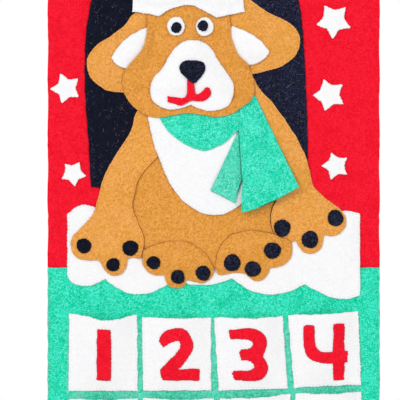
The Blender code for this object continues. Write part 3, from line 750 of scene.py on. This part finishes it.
# The fourth tone of each felt is its rim's: painted highlight where lighter, painted shade on the
# red, mixed with pale fibres.
red = felt_material("red", "F5132A D6051C FF2A42 D41230 FA1A33 E80A22", 0.35, 0.8)
green = felt_material("green", "05DEB2 00B58A 68F3D6 5CE6C8 38E9C8 00CA9C", 0.3, 1.15,
                      patch=POCKET_LINT_AND_SHADE)
scarf = felt_material("scarf_green", "12DDB6 00B890 76F4DA 5CE6C8 3FE7C8 04CFA4", 0.3, 1.15)
green_shade = felt_material("green_shade", "3FD9B6 18B48F 8AEDD8 78E0C6 58E0C2 32CBA9", 0.3, 1.2)
tan = felt_material("tan", "E99F46 CC812F FBBC6C EDB47A EEA55F DE9A39", 0.4, 0.95, 0.35)
deep_tan = felt_material("deep_tan", "E2983E C57B29 F5B562 E4AA6E E79F57 D79433", 0.4, 0.95, 0.35)
navy = felt_material("navy", "15172A 090B18 2E324C 1C1F34 1B1F36 0F1121", 0.4, 1.0, lint="7B8099",
                     patch=LEFT_SHADE)
pad_navy = felt_material("pad_navy", "10121F 07080F 303650 1A1D30", 0.4, 1.15, lint="676E86",
                         patch=LEFT_SHADE)
white = felt_material("white", "F8F8F9 EEEEF0 FEFEFE FAFAFA FAF8F8 F4F5F7", 0.2, 0.8)
rod_wood = wood_material("rod_wood_grain")

# The panel and its casing

PANEL_STEP = 0.006
ROD_RADIUS = 0.0050
CASING_EASE = 0.0010
CASING_LEAN = radians(30)
CASING_TOP_Z = -0.0245
CASING_SEAM_Z = -0.0290
FLAP = 0.0090
FLAP_BACK = FELT * 1.12


def panel_section():
    """The sheet's middle line from the panel's bottom up, over the rod and down behind it, as
    forward distance and height."""
    turn = ROD_RADIUS + CASING_EASE + FELT / 2
    line = [(0.0, z) for z in np.arange(PANEL_LOW.z, CASING_TOP_Z, PANEL_STEP)]
    forward, level = turn * cos(CASING_LEAN), turn * sin(CASING_LEAN) - turn * 0.35
    for share in np.linspace(0.15, 1, 5):
        line.append((forward * ease(share), CASING_TOP_Z + (level - CASING_TOP_Z) * share))
    for angle in np.linspace(radians(10), radians(170), 14):
        line.append((turn * cos(angle), turn * sin(angle)))
    for share in np.linspace(0, 1, 6):
        depth = forward + (FLAP_BACK - forward) * ease(share)
        line.append((-depth, level + (CASING_TOP_Z - level) * share))
    line += [(-FLAP_BACK, CASING_TOP_Z - FLAP / 2), (-FLAP_BACK, CASING_TOP_Z - FLAP)]
    return np.array(line)


def backing():
    """The red sheet: one length of felt, hung over the rod and sewn to itself."""
    low, high = PANEL_LOW, PANEL_HIGH
    line = panel_section()
    columns = round((high.x - low.x) / PANEL_STEP) + 1
    xs = np.linspace(low.x, high.x, columns)
    sides = (xs - low.x) / (high.x - low.x) * 2 - 1
    wander = 0.0004 * np.sin(line[:, 1] * 95) + random.normal(0, 0.00012, len(line))
    points = [(x + shift * side**7, -(forward + hang(x, z)), z)
              for (forward, z), shift in zip(line, wander) for x, side in zip(xs, sides)]
    corners = [row * columns + column
               for row in range(len(line) - 1) for column in range(columns - 1)]
    faces = [(c, c + 1, c + columns + 1, c + columns) for c in corners]
    piece = solid("backing_felt", points, faces, red)
    given(piece.modifiers.new("felt", "SOLIDIFY"), thickness=FELT, offset=0)
    given(piece.modifiers.new("worn_edge", "BEVEL"), width=FELT / 4, segments=2,
          limit_method="ANGLE", angle_limit=radians(50))
    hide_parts("backing_panel")
    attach(piece, "panel")


# Pockets and their numerals

# Corners of the photographed pockets, from the first, in its pixels: upper left, upper right,
# lower right, lower left
POCKET_CORNERS_PX = (
    "69,313.8 137.2,315.4 137.8,391.3 68.2,391.4",
    "141.8,317.3 211,317.6 211.2,391 142.9,391.3",
    "213.9,317.5 282.8,316.3 287.9,389 218.7,391",
    "288,315.1 358.6,311.4 361.5,385 294,388.2",
    "69,398.9 137.4,398.5 137.4,471.2 68.6,471",
    "142.6,398.3 214.2,398.6 212.6,471 142.4,471.3",
    "219.8,399 291,393.8 288.2,470.6 217.2,471",
    "295.2,393.6 361.6,391.8 360.4,469.8 292.6,470.4",
)
FIRST_SAG = 0.0062
SAG = 0.0006
CORNER_WANDER = 0.0009
SAG_MIDDLE_SHARE = 0.56


class Pocket:
    """One pocket: its four corners, and the belly that it opens with."""

    def __init__(self, number):
        self.number = number
        self.name = POCKETS[number - 1]
        low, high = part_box(self.name)
        offsets = random.uniform(-CORNER_WANDER, CORNER_WANDER, (4, 2))
        if number <= len(POCKET_CORNERS_PX):
            self.corners = np.array(written(POCKET_CORNERS_PX[number - 1], spot))
        else:
            self.corners = offsets + np.array(
                [(low.x, high.z), (high.x, high.z), (high.x, low.z), (low.x, low.z)])
        self.sag = FIRST_SAG if number == 1 else SAG + float(random.uniform(0, 0.0009))
        self.bulge = POCKET_BULGE * float(random.uniform(0.88, 1.0))

    def at(self, u, v):
        """A place in the pocket from its shares across and up."""
        top_left, top_right, low_right, low_left = self.corners
        low = low_left + (low_right - low_left) * u
        high = top_left + (top_right - top_left) * u
        place = low + (high - low) * v
        across = u ** (np.log(0.5) / np.log(SAG_MIDDLE_SHARE))
        place[1] -= self.sag * sin(pi * across) ** 2 * v**3
        return place

    def shares(self, x, z):
        """The shares across and up of places in the pocket."""
        top_left, top_right, low_right, low_left = self.corners
        u = np.full(x.shape, 0.5)
        for _ in range(4):
            low = low_left[1] + (low_right[1] - low_left[1]) * u
            high = top_left[1] + (top_right[1] - top_left[1]) * u
            v = (z - low) / (high - low)
            left = low_left[0] + (top_left[0] - low_left[0]) * v
            right = low_right[0] + (top_right[0] - low_right[0]) * v
            u = (x - left) / (right - left)
        return np.clip(u, 0, 1), np.clip(v, 0, 1)

    def back(self, x, z):
        """How far forward the pocket's inside lies: sewn flat at three sides, open at the top."""
        u, v = self.shares(x, z)
        width = self.corners[1][0] - self.corners[0][0]
        height = self.corners[0][1] - self.corners[3][1]
        hem_u, hem_v = POCKET_HEM / width, POCKET_HEM / height
        belly = np.sin(pi * np.clip((u - hem_u) / (1 - 2 * hem_u), 0, 1))
        rise = np.clip((v - hem_v) / (1 - hem_v), 0, 1)
        return on_top(x, z) + self.bulge * belly**0.9 * np.sin(rise * pi / 2)

    def front(self, x, z):
        return self.back(x, z) + FELT + LAYER_GAP / 2

    def loop(self):
        edge = [(u, 1.0) for u in np.linspace(0, 1, 24)]
        edge += [(1.0, v) for v in np.linspace(1, 0, 8)[1:]]
        edge += [(u, 0.0) for u in np.linspace(1, 0, 8)[1:]]
        edge += [(0.0, v) for v in np.linspace(0, 1, 8)[1:-1]]
        return np.array([self.at(u, v) for u, v in edge])


# Each numeral's width as a share of its height, then its loops, as points across and up in
# thousandths of that box. A c marks a corner
NUMERALS = {
    "1": (0.262,
        "0,20c 960,0c 1000,500 970,980c 500,975 50,1000c 20,500"),
    "2": (0.775,
        "0,746c 57,856 194,952 467,1000 702,923 826,712 777,519 615,346 444,200c 1000,206c 988,0c "
        "82,0c 30,190c 218,346 442,519 546,683 479,769 295,740 104,648c"),
    "3": (0.74,
        "0,971c 362,990 648,1000 883,885 979,721 857,467c 1000,279 922,87 727,0 154,13c 89,135c "
        "141,177c 492,177 635,221 667,288 557,385 323,402c 276,529c 336,590c 544,615 628,721 "
        "518,800 49,806c"),
    "4": (0.772,
        "0,930c 45,965c 227,956c 250,632 330,518 477,482 682,495c 693,982c 920,1000c 920,500c "
        "1000,500c 1000,316c 920,310c 920,0c 693,0c 682,302c 432,302 136,386 23,561"),
    "5": (0.74,
        "80,1000c 920,990c 920,800c 340,805c 320,635c 560,650 830,565 990,350 920,120 620,0 "
        "290,10 0,90c 60,280c 300,195 560,190 690,310 640,420 440,465 230,445 30,430c"),
    "6": (0.74,
        "780,1000c 480,930 180,740 0,400 100,120 380,0 700,15 960,160 990,370 820,545 560,590 "
        "400,570 490,710 640,800 880,850c",
        "310,300 370,400 520,430 680,370 690,270 580,185 420,185"),
    "7": (0.74,
        "0,995c 970,1000c 1000,850c 740,560 560,260 500,0c 190,10c 270,280 440,570 640,800c "
        "20,800c"),
    "8": (0.74,
        "500,1000 220,950 90,760 230,555 40,400 10,190 200,30 500,0 810,35 990,200 960,400 "
        "770,555 910,760 780,950",
        "500,820 390,775 380,700 500,640 620,700 610,780",
        "500,440 350,375 330,270 430,190 570,190 670,270 650,375"),
    "0": (0.74,
        "500,1000 200,930 30,700 0,450 60,190 240,30 500,0 790,40 960,240 1000,500 960,750 "
        "790,940",
        "500,810 370,740 310,530 330,310 430,190 560,190 670,290 700,520 660,730"),
}
NUMERAL_GROWTH = 0.0007
NUMERAL_HEIGHT = 0.0570
PAIR_HEIGHT = 0.0490
PAIR_WIDTH_SHARE = 0.84
PAIR_GAP = 0.0065
FOUR_HEIGHT = 0.0620
LARGEST_TILT = 0.035
# Middles of the photographed numerals in its pixels
NUMERAL_MIDDLES_PX = {1: (104.0, 354.8), 2: (179.4, 354.2), 3: (248.3, 354.5), 4: (325.5, 351.5)}


def rounded(outline, place, steps=5):
    """A smooth loop through an outline's points, straight up to its corners."""
    places = written(outline, place)
    corner = [word.endswith("c") for word in outline.split()]
    count = len(corner)
    made = []
    for k in range(count):
        a, b = places[k], places[(k + 1) % count]
        out = (b - (a if corner[k] else places[k - 1])) / 2
        into = ((b if corner[(k + 1) % count] else places[(k + 2) % count]) - a) / 2
        for t in np.arange(steps) / steps:
            made.append((2 * t**3 - 3 * t**2 + 1) * a + (t**3 - 2 * t**2 + t) * out
                        + (3 * t**2 - 2 * t**3) * b + (t**3 - t**2) * into)
    return np.array(made)


def numeral_loops(figure, height, squeeze):
    """A figure's loops in metres round its own middle, and its width. Nine is six turned over."""
    share, *outlines = NUMERALS["6" if figure == "9" else figure]
    size = np.array((share * height * squeeze, height))
    sign = -1 if figure == "9" else 1
    smooth = [rounded(outline, lambda x, z: (x / 1000, z / 1000)) for outline in outlines]
    return [loop + outward(loop) * NUMERAL_GROWTH
            for loop in turned([sign * (loop - 0.5) * size for loop in smooth])], size[0]


def numeral(pocket):
    """The figures sewn on a pocket's front."""
    text = str(pocket.number)
    pairs = len(text) - 1
    height = PAIR_HEIGHT if pairs else FOUR_HEIGHT if text == "4" else NUMERAL_HEIGHT
    cut = [numeral_loops(f, height, PAIR_WIDTH_SHARE if pairs else 1.0) for f in text]
    whole = sum(width for _, width in cut) + PAIR_GAP * pairs
    middle = pocket.corners.mean(axis=0) + random.uniform(-0.0012, 0.0012, 2)
    seen = NUMERAL_MIDDLES_PX.get(pocket.number)
    if seen:
        middle = np.array(spot(*seen))
    left = -whole / 2
    for place, (loops, width) in enumerate(cut, 1):
        tilt = 0.0 if seen else random.uniform(-LARGEST_TILT, LARGEST_TILT)
        turn = np.array(((cos(tilt), -sin(tilt)), (sin(tilt), cos(tilt))))
        centre = middle + (left + width / 2, 0)
        placed = [hand_cut(loop @ turn.T + centre, 0.0012, 7, 0.00026, 0.00020, 0.6)
                  for loop in loops]
        # The numerals take a little more painted edge shade.
        lay(f"numeral_{pocket.number:02d}_{place}", placed, red, back=pocket.front,
            felt=NUMERAL_FELT, spacing=0.0026, seam=1.1)
        left += width + PAIR_GAP


def pockets():
    """All the day pockets, and then their numerals."""
    made = []
    for number, name in enumerate(POCKETS, 1):
        pocket = Pocket(number)
        loops = [hand_cut(pocket.loop(), 0.0012, 6, 0.00028, 0.00022, 0.3)]
        lay(f"{name}_felt", loops, white, back=pocket.back, node=name,
            spacing=0.0030)
        made.append(pocket)
    for pocket in made:
        numeral(pocket)


# The scarf

LONG_TAIL_PX = (
    "241,212.5c 241.6,196 242,180 240.6,160 239,134c 239.6,120 240.4,104c 249.5,93.5c 255.6,96c "
    "277,141 299,187c 285,195.3 272,202 260,207.3 250,210.9")
SHORT_TAIL_PX = (
    "237.9,122c 238.9,128c 238.8,134 240.4,160 241.7,180.5c 238.4,191.5 235,203.2c 222.5,196.6 "
    "210.5,190.6c 224,161.8 237,133.5c")
COLLAR_END = 0.0355
LONG_TAIL_STAND_OFF = 0.0078
SHORT_TAIL_STAND_OFF = 0.0012
RIPPLE = 0.0006
RIPPLE_LENGTH = 0.041


def loose_tail(node, outline_px, material, stand_off):
    """A scarf tail: flat under the collar, then hanging free and standing off at its end."""
    loops = [hand_cut(rounded(outline_px, spot), 0.0014, 3, 0.00010, 0.00008)]
    lying = drape(loops, cad_level(node), 0.10)
    low = float(loops[0][:, 1].min())

    def back(x, z):
        free = ease((HINGE_Z - z) / (HINGE_Z - low)) ** 0.75
        ripple = RIPPLE * np.sin(2 * pi * x / RIPPLE_LENGTH + 0.8) * free
        return lying(x, z) + stand_off * free + ripple

    zone = ((0, 0, HINGE_Z + HINGE_BLEND / 2), (0, 0, HINGE_Z - HINGE_BLEND))
    lay(f"{node}_felt", loops, material, back=back, node=node,
        body=node.removeprefix("scarf_"), blend=zone, spacing=0.0028)


def collar():
    """The band round the neck, its right end tucked under the long tail."""
    loop = flat_loops("scarf_collar", "back")[0].copy()
    loop[:, 0] = np.minimum(loop[:, 0], COLLAR_END)
    loops = [hand_cut(loop)]
    lay("scarf_collar_felt", loops, scarf, back=drape(loops, cad_level("scarf_collar"), 0.12),
        node="scarf_collar")


# Pads, eyes and pompom

POMPOM_RINGS = 18
POMPOM_SIDES = 72
POMPOM_GATHERS = 13


def pads(node):
    """Round felt pads on a piece, where the CAD model has them."""
    discs = sorted(flat_loops(node, "front"), key=lambda loop: loop[:, 0].mean())
    for number, loop in enumerate(discs, 1):
        lay(f"{node}_pad_{number}", [hand_cut(loop, 0.0011, 6, 0.00030, 0.00018)], pad_navy,
            back=on_top, spacing=0.0022)


def pompom():
    """A white felt ball, gathered at its back and stuffed."""
    low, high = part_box("hat_pompom")
    middle = (low + high) / 2
    radius, depth = (high.x - low.x) / 2, (high.y - low.y)
    seat = float(on_top(np.array([middle.x]), np.array([middle.z]))[0])
    points, faces = [], []
    for ring in range(POMPOM_RINGS + 1):
        share = ring / POMPOM_RINGS
        angle = share * pi
        for side in range(POMPOM_SIDES):
            turn = 2 * pi * side / POMPOM_SIDES
            fold = 0.035 * cos(POMPOM_GATHERS * turn + 0.7) * sin(angle) ** 2 * (0.3 + 0.7 * share)
            out = radius * sin(angle) ** 0.85 * (1 + fold)
            forward = seat + depth * (1 + cos(angle)) / 2
            points.append((middle.x + out * cos(turn), -forward, middle.z + out * sin(turn)))
    for start in range(0, POMPOM_RINGS * POMPOM_SIDES, POMPOM_SIDES):
        for side in range(POMPOM_SIDES):
            a, b = start + side, start + (side + 1) % POMPOM_SIDES
            faces.append((b, a, a + POMPOM_SIDES, b + POMPOM_SIDES))
    piece = solid("hat_pompom_felt", points, faces, white)
    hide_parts("hat_pompom")
    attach(piece, "panel")


# Stitches

STITCH = 0.0027
STITCH_GAP = 0.0019
STITCH_INSET = 0.0024
STITCH_LIFTS = (-0.0002, 0.00008, 0.00013, 0.00008, -0.0002)
SEAM_STEP = 0.0015
THREAD_RADIUS = 0.00021
TUBE_END = 0.55


def tube(points, radius, sides=5):
    """A short tube along points, as vertices and faces."""
    along = unit(np.gradient(points, axis=0))
    side = unit(np.cross(along, (0.0, -1.0, 0.0)))
    up = np.cross(side, along)
    thick = radius * np.array([TUBE_END] + [1.0] * (len(points) - 2) + [TUBE_END])
    around = np.array([(cos(2 * pi * k / sides), sin(2 * pi * k / sides)) for k in range(sides)])
    ring = side[:, None] * around[:, :1] + up[:, None] * around[:, 1:]
    verts = points[:, None] + thick[:, None, None] * ring
    faces = [(k + corner, k + (corner + 1) % sides, k + sides + (corner + 1) % sides,
              k + sides + corner)
             for k in range(0, (len(points) - 1) * sides, sides) for corner in range(sides)]
    faces.append(tuple(range(sides))[::-1])
    faces.append(tuple(range((len(points) - 1) * sides, len(points) * sides)))
    return verts.reshape(-1, 3), faces


def joined(name, parts, material):
    """One piece from many small tubes."""
    faces, start = [], 0
    for verts, part_faces in parts:
        faces += [tuple(start + v for v in face) for face in part_faces]
        start += len(verts)
    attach(solid(name, np.concatenate([verts for verts, _ in parts]), faces, material), "panel")


def running(line, forward, skipped=lambda x, z, own: False, side=1):
    """Running stitches along a line that lies forward by so much, on its front or its back."""
    run = np.concatenate([[0], np.cumsum(np.linalg.norm(np.diff(line, axis=0), axis=1))])
    parts = []
    for start in np.arange(0, run[-1] - STITCH, STITCH + STITCH_GAP):
        at = start + STITCH * np.linspace(0, 1, len(STITCH_LIFTS))
        x, z = np.interp(at, run, line[:, 0]), np.interp(at, run, line[:, 1])
        own = forward(x, z)
        if not skipped(x, z, own):
            depth = -(own + side * np.array(STITCH_LIFTS))
            parts.append(tube(np.stack([x, depth, z], axis=1), THREAD_RADIUS))
    return parts


def seam_path(piece):
    """The closed line of stitches inside a laid piece's outline, and whether a stitch on it
    would close a pocket's open top."""
    line, _ = evenly(turned(laid[piece][0])[0], SEAM_STEP)
    line = line - outward(line) * STITCH_INSET
    middle = line[:, 1].mean()

    def shuts(x, z, own):
        level = abs(x[-1] - x[0]) > abs(z[-1] - z[0])
        return piece in POCKETS and z.mean() > middle and level

    return np.concatenate([line, line[:1]]), shuts


def stitches(piece, thread):
    """Running stitches round a laid piece, where nothing covers them."""
    _, back, felt = laid[piece]
    line, shuts = seam_path(piece)
    parts = running(line, lambda x, z: back(x, z) + felt,
                    lambda x, z, own: shuts(x, z, own) or covered(x, z, own).any())
    if parts:
        joined(f"{piece}_stitches", parts, thread)


def seams_behind(pieces, thread):
    """The same seams where they come out at the panel's back, and the casing's row."""
    parts = []
    for piece in pieces:
        line, shuts = seam_path(piece)
        parts += running(line, lambda x, z: hang(x, z) - FELT / 2, shuts, -1)
    row = np.linspace((PANEL_LOW.x + STITCH_INSET, CASING_SEAM_Z),
                      (PANEL_HIGH.x - STITCH_INSET, CASING_SEAM_Z), 60)
    parts += running(row, lambda x, z: FELT / 2 + 0 * x)
    parts += running(row, lambda x, z: 0 * x - FELT * 1.62, side=-1)
    joined("panel_seams", parts, thread)


# Loose wool fibres

FIBRE_ARCH = 0.00035
FUZZ_LENGTH = 0.0028
FUZZ_RADIUS = 0.00010
FUZZ_DROP = 0.0003


def spun(name, x, forward, z, radius, kept, thread):
    """One piece from the kept paths of fibres."""
    joined(name, [tube(np.stack([x[k], -forward[k], z[k]], axis=1), radius, 3)
                  for k in np.flatnonzero(kept)], thread)


def trails(place, heading, length, curl, steps=7):
    """Curled paths from places, each in its heading."""
    count = len(place)
    bend = random.normal(0, curl, count)
    stride = length * random.uniform(0.5, 1.2, count) / steps
    made = []
    for _ in range(steps):
        made.append(place)
        heading = heading + bend / steps + random.normal(0, curl / 5, count)
        place = place + stride[:, None] * np.stack([np.cos(heading), np.sin(heading)], axis=1)
    made = np.stack(made, axis=1)
    return made[..., 0], made[..., 1]


def hairs(piece, count, thread, length, radius, curl):
    """Stray curled fibres lying on a piece's face, where nothing covers it."""
    loops, back, felt = laid[piece]
    tries = count * 4
    heading = random.uniform(0, 2 * pi, tries)
    x, z = trails(random.uniform(*extent(loops[:1]), (tries, 2)), heading, length, curl)
    own = back(x, z) + felt
    free = (~covered(x, z, own) & inside(x, z, loops)).all(axis=1)
    free &= np.cumsum(free) <= count
    forward = own + (radius * 0.9 + FIBRE_ARCH * np.sin(np.linspace(0, pi, x.shape[1])))
    spun(f"{piece}_{thread.name}_fibres", x, forward, z, radius, free, thread)


def fuzz(piece, per_metre, thread):
    """Short fibres that stand out of a piece's cut edge, over what lies beside it."""
    loops, back, felt = laid[piece]
    loop = turned(loops)[0]
    ways = soft_outward(loop)
    number = random.integers(0, len(loop), round(per_metre * lengths(loop).sum()))
    heading = np.arctan2(ways[number, 1], ways[number, 0]) + random.normal(0, 0.9, len(number))
    x, z = trails(loop[number] - ways[number] * RIM_WIDTH / 2, heading, FUZZ_LENGTH, 1.4, 5)
    own = back(x[:, 0], z[:, 0]) + felt
    falling = own[:, None] - FUZZ_DROP * np.arange(x.shape[1])
    forward = np.maximum(read_grid(relief, x, z), falling) + FUZZ_RADIUS
    spun(f"{piece}_fuzz", x, forward, z, FUZZ_RADIUS, ~covered(x[:, 0], z[:, 0], own), thread)


# Everything in the order it is laid

SIDES = ("left", "right")
backing()
cut_out("green_panel", green, "backing_panel", 0.0060)
cut_out("arch_panel", navy, "backing_panel", 0.0045, nibble=0.00022)
for side in SIDES:
    for number in range(1, 5):
        cut_out(f"star_{side}_{number}", white, "backing_panel", 0.0024,
                step=0.0012, soft=9, wander=0.0003, nibble=0.00016, hold=0.4)
cut_out("snow_bank", white, "green_panel backing_panel", nibble=0.00018)
cut_out("torso", deep_tan, "snow_bank arch_panel")
for side in SIDES:
    cut_out(f"arm_{side}", tan, "torso snow_bank")
cut_out("belly_bib", white, "torso arm_left")
# The feet take less painted edge shade.
for side in SIDES:
    cut_out(f"foot_{side}", deep_tan, "torso snow_bank", seam=0.8)
for side in SIDES:
    cut_out(f"ear_{side}", tan, "arch_panel backing_panel")
    cut_out(f"ear_lining_{side}", white, f"ear_{side}")
loose_tail("scarf_tail_short", SHORT_TAIL_PX, green_shade, SHORT_TAIL_STAND_OFF)
collar()
loose_tail("scarf_tail_long", LONG_TAIL_PX, scarf, LONG_TAIL_STAND_OFF)
# The head takes less painted edge shade.
cut_out("head", deep_tan, "arch_panel scarf_collar ear_left ear_right", seam=0.5)
cut_out("muzzle", white, "head")
for side in SIDES:
    cut_out(f"eye_{side}", white, "head", 0.0024, step=0.0011, soft=8)
cut_out("mouth", red, "muzzle", 0.0024, step=0.0012, soft=5)
cut_out("nose", pad_navy, "muzzle", 0.0024)
cut_out("hat_crown", red, "arch_panel head")
cut_out("hat_brim", white, "head hat_crown")
for part in ("arm", "foot", "eye"):
    for side in SIDES:
        pads(f"{part}_{side}")
pompom()
pockets()

threads = {name: thread_material(f"thread_{name}", code) for name, code in (
    ("tan", "D98F3F"), ("white", "EDEDEF"), ("green", "12B892"), ("red", "C9142A"),
    ("navy", "20243A"), ("grey", "868CA6"), ("sand", "C9A27A"), ("cream", "FCE3BE"),
    ("tan_wool", "EDAF66"), ("white_wool", "F6F6F7"))}
for thread, pieces in (
    ("tan", "torso arm_left arm_right foot_left foot_right ear_left ear_right head"),
    ("white", "belly_bib snow_bank muzzle hat_brim"), ("red", "hat_crown"), ("navy", "arch_panel"),
    ("green", "green_panel scarf_collar"), ("white", " ".join(POCKETS)),
):
    for piece in pieces.split():
        stitches(piece, threads[thread])
seams_behind(["arch_panel", "green_panel"] + POCKETS, threads["white"])
hairs("arch_panel", 300, threads["grey"], 0.0055, 0.00007, 1.8)
hairs("arch_panel", 60, threads["sand"], 0.0060, 0.00007, 2.2)
for piece in ("head", "torso", "ear_left", "ear_right", "arm_left", "arm_right"):
    hairs(piece, 12, threads["cream"], 0.0075, 0.00010, 1.6)
# Fibres per metre of edge
for per_metre, thread, pieces in (
    (260, "tan_wool", "ear_left ear_right"),
    (200, "tan_wool", "arm_left arm_right foot_left foot_right"), (160, "tan_wool", "head"),
    (240, "white_wool", "snow_bank"), (500, "navy", "arch_panel"),
    (120, "white_wool", "belly_bib muzzle"), (520, "white_wool", " ".join(POCKETS)),
):
    for piece in pieces.split():
        fuzz(piece, per_metre, threads[thread])

nodes["hanging_rod"].material_slots[0].material = rod_wood

# Camera, floor and light

FLOOR_DROP = 0.060
FLOOR_HALF = 3.5
FLOOR_FADE = (1.25, 2.3)
FLOOR_PAINT = (0.86, 0.86, 0.87, 1)
SENSOR = 36
WHITE = (1, 1, 1, 1)
ROOM_LIGHT = 0.50


def camera():
    x, z = spot(MIDDLE_PX, MIDDLE_PX)
    data = given(bpy.data.cameras.new("camera"), sensor_width=SENSOR, clip_end=50,
                 lens=SENSOR * CAMERA_DISTANCE / (FRAME_PX * PIXEL))
    bpy.context.scene.camera = shown(
        "camera", data, location=(x, -CAMERA_FOCUS_DEPTH - CAMERA_DISTANCE, z),
        rotation_euler=(radians(90), 0, 0))


def floor():
    """A pale floor that fades to white away from the calendar."""
    tree = Tree(bpy.data.materials.new("floor_paint"))
    paint = tree.done(Base_Color=FLOOR_PAINT, Roughness=0.9)
    away = tree.add("VectorMath", tree.where(), operation="LENGTH").outputs["Value"]
    seen = tree.add("LightPath").outputs["Is Camera Ray"]
    fade = tree.sums("MULTIPLY", tree.ranged(away, *FLOOR_FADE), seen)
    shader = tree.nodes["Principled BSDF"].outputs[0]
    glow = tree.add("Emission", Color=WHITE).outputs[0]
    both = tree.add("MixShader", fade, shader, glow)
    tree.fill(tree.nodes["Material Output"], both.outputs[0])
    low = PANEL_LOW.z - FLOOR_DROP
    corners = [(FLOOR_HALF * x, FLOOR_HALF * y, low) for x, y in ((-1, -1), (1, -1), (1, 1), (-1, 1))]
    solid("floor", corners, [(0, 1, 2, 3)], paint)


def world():
    """White to the camera, softer on the object."""
    tree = Tree(bpy.data.worlds.new("room"))
    bpy.context.scene.world = tree.made
    tree.nodes.clear()
    rays = tree.add("LightPath").outputs
    mirrored = tree.sums("MAXIMUM", rays["Is Glossy Ray"], rays["Is Transmission Ray"])
    direct = tree.sums("MAXIMUM", rays["Is Camera Ray"], mirrored)
    soft, full = (tree.add("Background", Color=WHITE, Strength=strength).outputs[0]
                  for strength in (ROOM_LIGHT, 1.0))
    tree.add("OutputWorld", tree.add("MixShader", direct, soft, full).outputs[0])


def lamp(name, place, size, power):
    """A large soft lamp aimed at the middle of the calendar."""
    made = shown(name, given(bpy.data.lights.new(name, "AREA"), size=size, energy=power),
                 location=place)
    aim = (cad_box[0] + cad_box[1]) / 2 - made.location
    made.rotation_euler = aim.to_track_quat("-Z", "Y").to_euler()


camera()
floor()
world()
lamp("front_left", (-2.3, -4.0, 1.6), 1.7, 89)
lamp("front_right", (1.7, -2.8, 0.2), 2.0, 21)
lamp("back", (0.3, 2.6, 0.8), 2.0, 34)
bpy.context.scene.view_settings.view_transform = "Standard"
